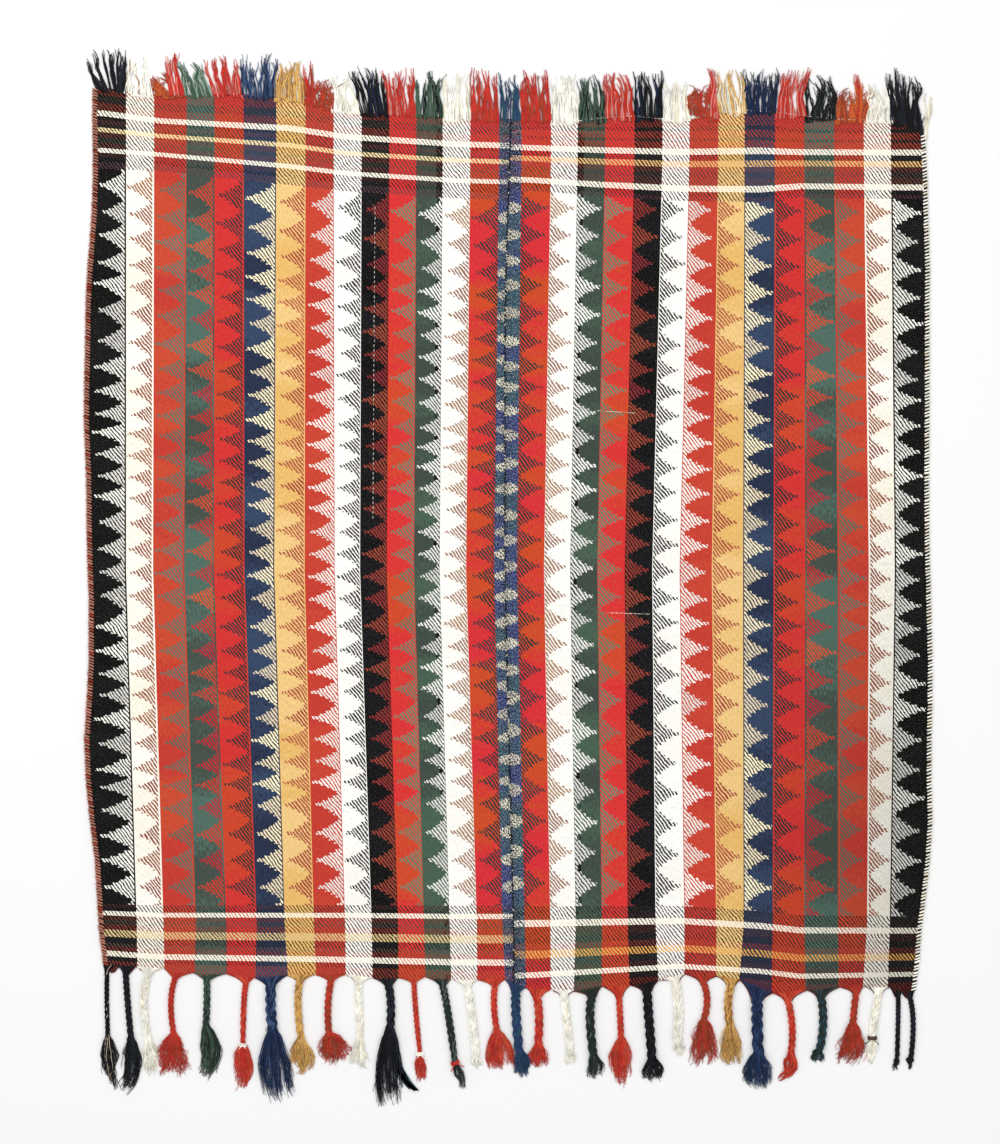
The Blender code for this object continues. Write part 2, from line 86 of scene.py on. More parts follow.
# Stage, in metres, and the camera's sensor in mm
FLOOR_WIDE = 30.0
FLOOR_HIGH = -0.0004
CAMERA_HIGH = 7.0
CAMERA_CLIP = 60.0
CAMERA_SENSOR = 36.0
# Lamps: name, place, size, and power as a share of the key light's
LAMPS = (("Key", (-1.6, 1.9, 3.4), 2.6, 1.0), ("Rim", (2.2, -1.2, 3.6), 3.0, 0.35))

# Outline of the woven widths: y, left selvedge, centre seam, right selvedge
EDGES = np.array((
    (84, 92.0, 511.0, 918.0),
    (120, 91.5, 511.0, 925.0),
    (150, 92.0, 510.0, 926.5),
    (180, 92.0, 509.0, 928.0),
    (210, 91.0, 508.0, 928.5),
    (240, 89.0, 507.0, 929.5),
    (270, 86.5, 506.0, 930.5),
    (300, 85.0, 505.5, 930.0),
    (360, 84.0, 505.0, 930.0),
    (420, 83.0, 505.0, 930.0),
    (480, 85.5, 505.0, 929.5),
    (540, 86.0, 505.0, 930.0),
    (600, 88.0, 505.5, 931.5),
    (660, 88.0, 507.0, 933.0),
    (700, 86.0, 508.0, 933.0),
    (740, 83.5, 509.0, 932.0),
    (780, 85.0, 510.0, 932.0),
    (820, 89.0, 511.0, 933.0),
    (860, 94.0, 512.0, 930.5),
    (900, 96.5, 513.0, 926.0),
    (930, 98.0, 513.5, 922.0),
    (960, 102.0, 514.0, 920.0),
    (1000, 104.0, 514.0, 915.0),
))
LEFT_EDGE, SEAM_LINE, RIGHT_EDGE = 1, 2, 3

# Cut fringe over each stripe, left to right: yarn, root y, tip y, first and last tip x, yarns, curl from
# 0 to 1, second yarn and its share
FRINGE = (
    ("black", 88, 50, 86, 97, 14, 0.2, "ink", 0.3),
    ("black", 89, 48, 101, 127, 18, 0.2, "ink", 0.3),
    ("white", 95, 54, 130, 147, 24, 0.3, "tan", 0.08),
    ("orange", 94, 72, 149, 165, 34, 0.9, "rust", 0.6),
    ("moss", 96, 61, 178, 198, 26, 0.3, "mist", 0.3),
    ("red", 92, 55, 202, 236, 32, 0.2, "pink", 0.25),
    ("steel", 96, 54, 240, 275, 28, 0.3, "navy", 0.5),
    ("yellow", 99, 60, 279, 301, 28, 0.5, "tan", 0.3),
    ("red", 103, 79, 304, 331, 34, 0.9, "rust", 0.6),
    ("white", 114, 74, 334, 346, 22, 0.3, "cream", 0.3),
    ("black", 113, 67, 350, 382, 30, 0.2, "navy", 0.2),
    ("red", 113, 67, 386, 413, 30, 0.3, "pink", 0.25),
    ("moss", 115, 69, 417, 441, 28, 0.3, "black", 0.4),
    ("white", 120, 71, 445, 468, 24, 0.2, "cream", 0.3),
    ("red", 118, 68, 472, 496, 30, 0.2, "rust", 0.2),
    ("blue", 119, 72, 500, 504, 10, 0.3, "teal", 0.4),
    ("blue", 119, 72, 511, 515, 10, 0.3, "teal", 0.6),
    ("red", 118, 69, 519, 549, 32, 0.2, "rust", 0.2),
    ("white", 125, 73, 553, 575, 24, 0.2, "cream", 0.3),
    ("moss", 118, 73, 579, 600, 28, 0.3, "black", 0.4),
    ("red", 118, 73, 604, 630, 32, 0.2, "pink", 0.15),
    ("black", 115, 68, 634, 661, 30, 0.2, "navy", 0.2),
    ("white", 124, 77, 665, 685, 24, 0.2, "cream", 0.3),
    ("red", 115, 84, 689, 713, 30, 0.9, "rust", 0.6),
    ("yellow", 111, 70, 717, 739, 28, 0.3, "cream", 0.3),
    ("navy", 111, 66, 743, 778, 34, 0.3, "ink", 0.3),
    ("red", 114, 68, 782, 804, 30, 0.3, "pink", 0.15),
    ("green", 119, 76, 808, 833, 28, 0.6, "black", 0.4),
    ("orange", 120, 88, 837, 867, 34, 0.9, "rust", 0.6),
    ("white", 121, 82, 871, 884, 20, 0.3, "cream", 0.3),
    ("black", 122, 69, 888, 903, 26, 0.3, "ink", 0.3),
    ("black", 127, 76, 907, 919, 22, 0.3, "ink", 0.3),
)
FRINGES_LEFT = 16
# Straight locks that rise above the curly ones: in the left width or not, from and to which stripe
# place, and a row as above
TALL_LOCKS = (
    (True, 2.55, 2.98, ("red", 94, 53, 167, 176, 22, 0.2, "pink", 0.2)),
    (True, 7.05, 7.3, ("red", 104, 62, 306, 312, 9, 0.3, "rust", 0.2)),
    (False, 7.02, 7.3, ("red", 114, 67, 710, 718, 16, 0.2, "pink", 0.2)),
    (False, 2.1, 2.35, ("red", 120, 74, 858, 866, 10, 0.3, "orange", 0.4)),
)

# Left end of the lower edge, then each plait from left to right: yarn, plan points of the right end of
# its gathered root, of its neck, its middle and its end, plait width in mm, tassel tip, tassel width in
# mm, how far the tassel bows to the right, curl from 0 to 1, second yarn and its share
LOWER_LEFT = (103.0, 966.0)
PLAITS = (
    ("black", (117, 966), (107, 973), (107, 1003), (108, 1036), 10, (115, 1086), 27, -2, 0.35, "bone", 0.12),
    ("black", (136, 967), (126, 975), (128, 1004), (131, 1037), 13, (124, 1091), 30, 4, 0.35, "ink", 0.3),
    ("white", (163, 968), (148, 974), (144, 1003), (148, 1038), 15, (150, 1073), 24, 1, 0.3, "cream", 0.3),
    ("red", (193, 973), (175, 979), (171, 1003), (174, 1034), 12, (172, 1073), 46, 0, 0.9, "rust", 0.3),
    ("green", (226, 974), (207, 981), (207, 1003), (206, 1025), 14, (207, 1079), 36, 5, 0.4, "moss", 0.4),
    ("red", (254, 978), (246, 984), (244, 1003), (243, 1044), 12, (240, 1087), 33, 2, 0.3, "coral", 0.3),
    ("navy", (287, 976), (271, 986), (271, 1009), (273, 1030), 21, (281, 1096), 52, -3, 0.3, "steel", 0.4),
    ("yellow", (315, 975), (300, 981), (298, 1003), (301, 1038), 15, (301, 1072), 32, 0, 0.5, "tan", 0.3),
    ("red", (345, 975), (331, 981), (328, 1006), (329, 1033), 14, (337, 1062), 40, 0, 0.9, "rust", 0.6),
    ("white", (372, 978), (359, 982), (359, 1003), (360, 1039), 14, (360, 1066), 22, 0, 0.5, "cream", 0.18),
    ("black", (398, 978), (389, 986), (391, 1006), (390, 1029), 17, (390, 1100), 46, -2, 0.2, "ink", 0.3),
    ("red", (425, 977), (414, 983), (416, 1013), (420, 1053), 11, (422, 1082), 19, 0, 0.2, "coral", 0.5),
    ("green", (451, 979), (443, 986), (449, 1019), (455, 1062), 15, (464, 1086), 12, 0, 0.1, "grey", 0.2),
    ("white", (477, 980), (467, 986), (472, 1016), (476, 1056), 16, (477, 1068), 16, 0, 0.3, "cream", 0.18),
    ("red", (505, 980), (495, 986), (494, 1006), (497, 1031), 13, (501, 1068), 48, 0, 0.25, "coral", 0.35),
    ("blue", (526, 988), (516, 992), (516, 1014), (519, 1051), 19, (525, 1076), 25, 0, 0.3, "teal", 0.3),
    ("red", (551, 990), (537, 997), (539, 1018), (538, 1044), 17, (539, 1066), 29, 0, 0.25, "coral", 0.3),
    ("white", (574, 991), (564, 995), (567, 1021), (570, 1048), 15, (570, 1064), 14, 0, 0.3, "cream", 0.18),
    ("green", (602, 986), (592, 996), (590, 1018), (593, 1052), 18, (595, 1077), 22, 1, 0.2, "grey", 0.12),
    ("red", (630, 985), (619, 997), (620, 1016), (621, 1038), 13, (621, 1085), 38, -1, 0.2, "coral", 0.35),
    ("black", (659, 980), (647, 991), (649, 1021), (652, 1058), 19, (655, 1080), 30, 0, 0.2, "ink", 0.2),
    ("white", (685, 974), (675, 980), (678, 1006), (677, 1040), 18, (680, 1055), 16, 0, 0.3, "cream", 0.18),
    ("red", (717, 976), (703, 982), (707, 999), (704, 1019), 14, (701, 1063), 38, 2, 0.7, "rust", 0.5),
    ("yellow", (740, 980), (731, 985), (728, 1003), (730, 1026), 17, (730, 1062), 36, 0, 0.4, "tan", 0.3),
    ("navy", (773, 993), (757, 1000), (757, 1021), (758, 1053), 23, (758, 1086), 46, -1, 0.3, "blue", 0.5),
    ("red", (807, 990), (788, 1001), (792, 1026), (791, 1052), 14, (781, 1079), 22, 5, 0.1, "coral", 0.35),
    ("green", (840, 987), (821, 997), (823, 1021), (820, 1048), 17, (815, 1062), 17, 0, 0.3, "teal", 0.3),
    ("red", (864, 986), (856, 993), (854, 1009), (853, 1022), 14, (847, 1061), 38, 2, 0.7, "rust", 0.5),
    ("white", (889, 987), (878, 993), (875, 1013), (872, 1037), 15, (871, 1062), 18, 0, 0.3, "cream", 0.18),
    ("black", (903, 991), (898, 997), (898, 1018), (897, 1056), 10, (894, 1070), 8, 0, 0.1, "ink", 0.3),
    ("black", (915, 991), (910, 998), (913, 1023), (911, 1056), 11, (909, 1069), 11, 0, 0.1, "ink", 0.3),
)
# How wide some tassels still are at their tips, as a share of their width: these end in a point
POINTED = {
    1: 0.5, 2: 0.6, 3: 0.8, 5: 0.6, 6: 0.65, 12: 0.7, 13: 0.5, 14: 0.6, 16: 0.75, 18: 0.5, 20: 0.5, 22: 0.6,
    26: 0.55, 27: 0.8, 29: 0.5, 30: 0.1, 31: 0.1,
}
# A lock that one tassel throws out to its right: the plait's number, the lock's yarns, how far from the
# plait's end it starts and bends, and the plan point of its tip
SIDE_LOCK = (11, 44, (4, 22), (13, 47), (417, 1091))
SEAM_PLAIT = 15
# Plan y of both ends of each selvedge's overcasting, and of the seam
OVERCAST_LEFT_RUN = (89.5, 966.0)
OVERCAST_RIGHT_RUN = (136.0, 990.0)
SEAM_RUN = (119.0, 985.0)
# Loose yarns at the top of the right selvedge: dye, how many, and plan points of their roots and tips
LOOSE_ENDS = (("cream", 8, (925.5, 139.0), (929.0, 99.0)), ("ink", 7, (922.0, 137.0), (920.0, 114.0)))
# Stripe places between which the right width's lower and upper ends are twined
TWINED_LOW = (1.0, 12.9)
TWINED_TOP = (1.2, 12.7)
TWINE_TURNS = 110
TIES = {6: "white", 12: "white", 13: "red", 29: "brown"}
TIE_DRAW_IN = 0.78
# White threads that show where they should not: plan points of both ends, floats, and each float's length
STRAY_THREADS = (
    ((375, 206), (373, 520), 64, 2.4),
    ((597, 411), (635, 413), 9, 3.6),
    ((606, 613), (650, 614), 10, 3.6),
)

# Stripe boundaries between the outer selvedge and the seam, at three heights: y, then each boundary's x
STRIPES_LEFT = np.array((
    (150, 124.7, 152.6, 185.3, 213.4, 242.5, 275.3, 304.7, 332.9, 361.0, 388.8, 415.9, 442.4, 470.1, 499.1),
    (570, 124.7, 151.6, 182.8, 212.6, 243.3, 273.2, 303.7, 334.0, 359.4, 386.2, 413.6, 439.3, 465.8, 494.0),
    (925, 135.5, 162.0, 194.7, 225.0, 255.7, 283.9, 313.0, 344.5, 371.1, 397.6, 423.6, 449.4, 476.7, 502.4),
))
STRIPES_RIGHT = np.array((
    (150, 892.2, 865.2, 835.4, 805.5, 776.0, 745.4, 719.2, 690.2, 663.2, 635.0, 605.6, 578.0, 551.3, 521.5),
    (570, 896.1, 870.3, 839.3, 806.6, 774.7, 744.1, 712.7, 680.3, 652.8, 625.1, 597.7, 570.4, 544.2, 517.0),
    (925, 890.9, 868.5, 839.5, 805.6, 773.8, 744.5, 717.2, 685.2, 656.2, 628.3, 602.3, 576.0, 550.5, 524.8),
))

# Rows of sawteeth from the top down: the y of the tooth's tip at each of the places across the width
TEETH_LEFT_X = (105, 315, 478)
TEETH_LEFT = np.array((
    (185, 205, 218), (212, 236, 246), (235, 260, 273), (263, 285, 295), (283, 305, 317), (310, 328, 339),
    (341, 352, 360), (367, 374, 382), (391, 397, 406), (414, 424, 430), (432, 445, 448), (454, 466, 467),
    (476, 488, 489), (496, 508, 510), (522, 532, 532), (549, 554, 554), (572, 577, 576), (595, 599, 597),
    (627, 627, 623), (651, 651, 646), (674, 672, 665), (695, 692, 685), (719, 718, 715), (744, 739, 738),
    (770, 761, 760), (787, 782, 781), (810, 804, 803), (836, 833, 832), (860, 860, 860), (887, 887, 887),
))
TEETH_RIGHT_X = (540, 915)
TEETH_RIGHT = np.array((
    (208, 213), (235, 242), (261, 270), (285, 298), (313, 324), (342, 352), (367, 380), (387, 400),
    (411, 426), (435, 452), (464, 476), (488, 500), (516, 529), (540, 554), (566, 580), (595, 606),
    (619, 629), (643, 655), (670, 684), (697, 709), (731, 740), (759, 770), (790, 798), (821, 831),
    (851, 861), (883, 891),
))

# End bands of each width: x, then the y of the first pale band, of the body's start, and at the bottom
# of the first pale band and of the last one's lower side
BANDS_LEFT = np.array((
    (92, 109, 168, 909, 954), (105, 110.4, 168.5, 910, 955), (160, 118, 171, 912, 959),
    (290, 125, 185, 912, 961), (345, 133.6, 191, 912, 962), (455, 141, 198.3, 913, 964.6),
    (512, 142.5, 200, 913, 965),
))
BANDS_RIGHT = np.array((
    (508, 144, 190, 919, 978), (535, 145, 191, 919, 977), (600, 147, 196, 918, 973),
    (680, 148.6, 200.8, 917, 968), (760, 147.3, 202, 922, 973), (800, 149, 197.5, 926.4, 978),
    (905, 149.4, 199, 927, 976),
))

# Yarn colours, as sRGB
DYES = {
    "black": "151518",
    "ink": "242833",
    "white": "fffdf2",
    "cream": "f3ecd6",
    "orange": "d2602f",
    "rust": "a2452b",
    "red": "c4362b",
    "pink": "dc8a80",
    "green": "28312d",
    "navy": "1d2b4a",
    "blue": "2b4167",
    "teal": "2c5360",
    "yellow": "dcae64",
    "tan": "a8743f",
    "brown": "4a2a20",
    "salmon": "bb7d6b",
    "maroon": "6e1a1c",
    "bone": "c9b9a4",
    "coral": "d2563c",
    "moss": "48604f",
    "mist": "8ba392",
    "steel": "3c5478",
    "grey": "5f6c67",
}

# Stripes from the outer selvedge to the seam: dye of the warp and weft, its second shade, and the weft
# of the teeth that reach into the stripe from the next one, as sRGB
STRIPE_DYES = (
    ("0a0a0b", "131315", "f6f5ec"),
    ("fffcf2", "fbf5e4", "96543c"),
    ("ca4a30", "c43a30", "5f7064"),
    ("434e47", "4f6c61", "cc402c"),
    ("d23231", "cc4429", "2c3236"),
    ("252f48", "344562", "fdeec6"),
    ("f0c984", "e8ba6c", "ad5240"),
    ("ca4432", "c43b30", "f8f6ee"),
    ("fffdf8", "fdfaf2", "2b2b2d"),
    ("0a0a0c", "131317", "963c32"),
    ("d93234", "cf4a28", "6c8069"),
    ("3d4942", "48604f", "f3f2ec"),
    ("fffdf8", "fdfaf2", "a27a60"),
    ("d52f36", "cc4a24", "2c363a"),
    ("384380", "385c68", "ece3c8"),
)
STRIPE_COUNT = len(STRIPE_DYES)
# Warps of the green stripe that lie next to the white one are black from this place on
BLACK_WARPS = 11.74
# A tooth's steps: share of the way from its tip's height to half a row off, and how far it reaches from
# the stripe's inner side there, as a share of the stripe
TOOTH_STEPS = ((0.0, 0.86), (0.13, 0.62), (0.33, 0.43), (0.55, 0.26), (0.78, 0.11))
# The same for the pale blocks on both sides of the seam
BLOCK_STEPS = ((0.0, 1.3), (0.16, 0.85), (0.32, 0.5), (0.44, 0.0))

# End bands, as weft colours. Top: share of the way from the first pale band to the body, and colour
TOP_BANDS_LEFT = (
    (-0.5, "86362a"), (-0.27, "3a352e"), (-0.14, "8a3e30"), (0.0, "fff8e6"), (0.09, "221e1e"),
    (0.16, "5e3632"), (0.23, "2a302a"), (0.29, "f3dda8"), (0.37, "6a3a30"), (0.46, "3e4438"),
    (0.55, "6a3e38"), (0.64, "fff8e6"), (0.73, "4a2826"), (0.8, "1c1a1c"), (0.87, "563c42"),
)
TOP_BANDS_RIGHT = (
    (-0.5, "86322a"), (-0.42, "2e2824"), (-0.33, "a03e30"), (-0.2, "54382e"), (-0.13, "a8402e"),
    (0.0, "fff8e6"), (0.12, "242624"), (0.235, "e8b878"), (0.35, "7a3c32"), (0.45, "483a38"),
    (0.57, "6c4036"), (0.70, "fff8e6"), (0.81, "1c1a1c"), (0.91, "503036"),
)
# Bottom: share of the way from the first pale band's top to the last one's lower side, and colour
BOTTOM_BANDS_LEFT = (
    (-0.155, "4a2c2c"), (-0.07, "161618"), (0.0, "fff8e6"), (0.1, "74382e"), (0.2, "4e443c"),
    (0.3, "8a3a2c"), (0.42, "dcc28c"), (0.58, "1e1d22"), (0.7, "5a463e"), (0.78, "8a3a2e"),
    (0.89, "fff8e6"), (1.0, "241c1c"), (1.1, "8c3a2c"),
)
BOTTOM_BANDS_RIGHT = (
    (-0.22, "2a2424"), (-0.1, "3c2a2a"), (0.0, "fff8e6"), (0.12, "4e2622"), (0.28, "262020"),
    (0.42, "84342a"), (0.53, "e2a858"), (0.67, "2a272c"), (0.8, "542c28"), (0.9, "fff8e6"),
    (1.0, "241c1c"), (1.12, "74241f"),
)
# The bands' one scale: it starts at BAND_LOW, the top ones end at TOP_END, the stripes and teeth are at
# BODY, and the bottom ones start from BOTTOM_START
BAND_LOW = -0.5
BAND_SPAN = 5.0
TOP_END = 1.0
BODY = 2.0
BOTTOM_START = 3.0

# Stripe places of the marks along both ends: the outer black stripe has two bundles of warps
MARK_PLACES = np.array([0.0, 0.5] + list(range(1, STRIPE_COUNT + 1)))
# Steps in which the lower edge dips to a plait's neck, and the power that draws it in on the way
SCALLOP_STEPS = (0.0, 0.2, 0.45, 0.75, 1.0)
FAN_DRAW_IN = 1.9
# Rows of teeth that are counted on beyond the first and the last, at the same spacing
ROWS_BEYOND = 9

# How fine the finishes' patterns are, in repeats to the metre: 1000 over the size of one in mm
FINENESS = {
    "rib sway": 40.0,
    "run of dye": 60.0,
    "tooth edge": 160.0,
    "yarn twist": 260.0,
    "rib break": 420.0,
    "mottle": 420.0,
    "lint": 520.0,
    "dark warp": 560.0,
    "thread": 600.0,
    "pale warp": 640.0,
    "fibre": 800.0,
    "hair": 900.0,
}

# Plaits of three strands. As shares of the width: how far a strand swings, how far its yarns lie from its
# middle, and a yarn's radius. As shares of the height: how far a strand rises and falls, and its yarns
STRAND_SWING = 0.225
STRAND_THICK = 0.2
STRAND_YARN = 0.078
STRAND_RISE = 0.27
STRAND_TALL = 0.11
# Near 1 a strand runs straight from side to side, and turns sharply there
STRAND_STRAIGHT = 0.96
PITCH_LEAST = 0.026
PLAIT_STEP = 0.003
FAN_ROWS = 5
TASSEL_POINTS = 9
# Length in plan units of one turn of a curly yarn, in the fringe and in a tassel, and the turn's radius
FRINGE_CURL = (6.5, 1.1)
TASSEL_CURL = (7.0, 1.5)

SEED = 7


def linear(code):
    """The linear colour of an sRGB hex value."""
    parts = [int(code[start : start + 2], 16) / 255 for start in (0, 2, 4)]
    return tuple(part / 12.92 if part <= 0.04045 else ((part + 0.055) / 1.055) ** 2.4 for part in parts)


def placed(x, y, z):
    """The rug's own coordinates of plan points, as an array whose last axis is x, y, z."""
    x, y, z = np.broadcast_arrays((np.asarray(x) - MIDDLE_X) * UNIT, (MIDDLE_Y - np.asarray(y)) * UNIT, z)
    return np.stack([x, y, z], axis=-1).astype(float)


def lifted(flat, z):
    """The rug's own coordinates of plan points whose last axis is x and y, at heights z."""
    return placed(flat[..., 0], flat[..., 1], z)


def edge_x(column, y):
    """The plan x at y of one of the outline's columns."""
    return np.interp(y, EDGES[:, 0], EDGES[:, column])


def between(start, end, share):
    """The points that lie a share of the way from start to end."""
    return np.asarray(start) + (np.asarray(end) - np.asarray(start)) * share


def read_between(lines, place):
    """What a stack of lines reads at fractional places down the stack."""
    low = np.clip(np.floor(place).astype(int), 0, len(lines) - 2)
    before = np.take_along_axis(lines, low[None], 0)[0]
    after = np.take_along_axis(lines, low[None] + 1, 0)[0]
    return before + (place - low) * (after - before)


def bend(start, middle, end, share):
    """Points on the smooth curve that passes through middle halfway from start to end."""
    share = np.asarray(share)[..., None]
    first = (2 * share - 1) * (share - 1) * np.asarray(start)
    return first + 4 * share * (1 - share) * np.asarray(middle) + share * (2 * share - 1) * np.asarray(end)


def outer_and_seam(left, y):
    """The width's outer and inner edge at y, between its overcasting and the seam."""
    half_gap = SEAM_GAP / 2 / UNIT
    if left:
        outer = edge_x(LEFT_EDGE, y) + OVERCAST_LEFT_WIDE * OVERCAST_BARE / UNIT
        return outer, edge_x(SEAM_LINE, y) - half_gap
    outer = edge_x(RIGHT_EDGE, y) - OVERCAST_RIGHT_WIDE * OVERCAST_BARE / UNIT
    return outer, edge_x(SEAM_LINE, y) + half_gap


def root_marks(left):
    """Plan points where the gathered roots meet, from the outer selvedge to the seam."""
    marks = np.array([LOWER_LEFT] + [plait[1] for plait in PLAITS], float)
    before, after = marks[SEAM_PLAIT], marks[SEAM_PLAIT + 1]
    seam_x = edge_x(SEAM_LINE, before[1]) + (-0.5 if left else 0.5) * SEAM_GAP / UNIT
    seam_mark = between(before, after, (seam_x - before[0]) / (after[0] - before[0]))
    if left:
        return np.vstack([marks[: SEAM_PLAIT + 1], seam_mark])
    return np.vstack([seam_mark, marks[SEAM_PLAIT + 1 :]])[::-1]


def fringe_rows(left):
    """The width's rows of the fringe, from the outer selvedge to the seam."""
    return FRINGE[:FRINGES_LEFT] if left else FRINGE[FRINGES_LEFT:][::-1]


def top_y(left, place):
    """The y of the cloth's upper edge at a stripe place."""
    roots = [row[1] for row in fringe_rows(left)]
    line = [roots[0]] + [(one + other) / 2 for one, other in zip(roots, roots[1:])] + [roots[-1]]
    return np.interp(place, MARK_PLACES, line)


def stripe_x(left, place, y):
    """The plan x of a stripe place, 0 at the outer selvedge and STRIPE_COUNT at the seam, at y."""
    table = STRIPES_LEFT if left else STRIPES_RIGHT
    marks = root_marks(left)
    place, y = np.broadcast_arrays(np.asarray(place, float), np.asarray(y, float))
    lines = np.empty((STRIPE_COUNT + 1,) + y.shape)
    lines[0], lines[-1] = outer_and_seam(left, y)
    for number in range(1, STRIPE_COUNT):
        mark_x, mark_y = marks[number + 1]
        lines[number] = np.interp(y, [*table[:, 0], mark_y], [*table[:, number], mark_x])
    return read_between(lines, place)


def scallop(left):
    """Stripe places along the lower edge and their y: the cloth dips towards each plait's neck."""
    marks = root_marks(left)
    numbers = range(0, SEAM_PLAIT + 1) if left else range(len(PLAITS) - 1, SEAM_PLAIT - 1, -1)
    outward = -1 if left else 1
    spots = []
    lows = []
    for index, number in enumerate(numbers):
        neck, _, _, wide_mm = PLAITS[number][2:6]
        start, end = marks[index], marks[index + 1]
        sides = ((start, outward, SCALLOP_STEPS), (end, -outward, SCALLOP_STEPS[::-1]))
        for mark, hand, steps in sides:
            goal = neck[0] + hand * (wide_mm / 2000 / UNIT)
            for share in steps:
                x = mark[0] + (goal - mark[0]) * (1 - (1 - share) ** FAN_DRAW_IN)
                part = (x - start[0]) / (end[0] - start[0])
                spots.append(MARK_PLACES[index] + part * (MARK_PLACES[index + 1] - MARK_PLACES[index]))
                lows.append(mark[1] + (neck[1] - mark[1]) * share)
    return np.array(spots), np.array(lows)


def unevenness(x, y):
    """The cloth's slight waves over the floor, and the small cockles between its stripes."""
    broad = np.sin(2.5 * math.tau * x + 1.0) * np.cos(3.5 * math.tau * y)
    cockle = np.sin(31 * x + 9 * np.sin(4 * y)) * np.sin(47 * y + 6 * np.sin(7 * x))
    return CLOTH_UNEVEN * broad + COCKLE_TALL * cockle


def rows_of_teeth(left, x, y):
    """How many rows of teeth lie above a plan point: a whole number at a row's tips."""
    table = TEETH_LEFT if left else TEETH_RIGHT
    stations = TEETH_LEFT_X if left else TEETH_RIGHT_X
    last = len(table) - 1
    numbers = np.concatenate([[-ROWS_BEYOND], np.arange(last + 1), [last + ROWS_BEYOND]])
    readings = []
    for tips in table.T.astype(float):
        above = tips[0] - ROWS_BEYOND * (tips[1] - tips[0])
        below = tips[-1] + ROWS_BEYOND * (tips[-1] - tips[-2])
        readings.append(np.interp(y, np.concatenate([[above], tips, [below]]), numbers))
    return read_between(np.array(readings), np.interp(x, stations, np.arange(len(stations))))


def band_place(left, x, y):
    """Where a plan point lies among the end bands, on one scale that is BODY between them."""
    table = BANDS_LEFT if left else BANDS_RIGHT
    first, body, low, last = (np.interp(x, table[:, 0], table[:, column]) for column in range(1, 5))
    top = (y - first) / (body - first)
    bottom = BOTTOM_START + (y - low) / (last - low)
    return np.where(y < MIDDLE_Y, np.clip(top, BAND_LOW, BODY), np.clip(bottom, BODY, BAND_LOW + BAND_SPAN))


def mesh_object(name, corners, faces):
    """An object whose faces all have four corners, shaded smooth."""
    mesh = bpy.data.meshes.new(name)
    mesh.vertices.add(len(corners))
    mesh.vertices.foreach_set("co", np.asarray(corners, np.float32).ravel())
    mesh.loops.add(faces.size)
    mesh.loops.foreach_set("vertex_index", faces.ravel().astype(np.int32))
    mesh.polygons.add(len(faces))
    mesh.polygons.foreach_set("loop_start", np.arange(0, faces.size, 4, dtype=np.int32))
    mesh.update(calc_edges=True)
    mesh.validate()
    mesh.shade_smooth()
    piece = bpy.data.objects.new(name, mesh)
    bpy.context.scene.collection.objects.link(piece)
    return piece


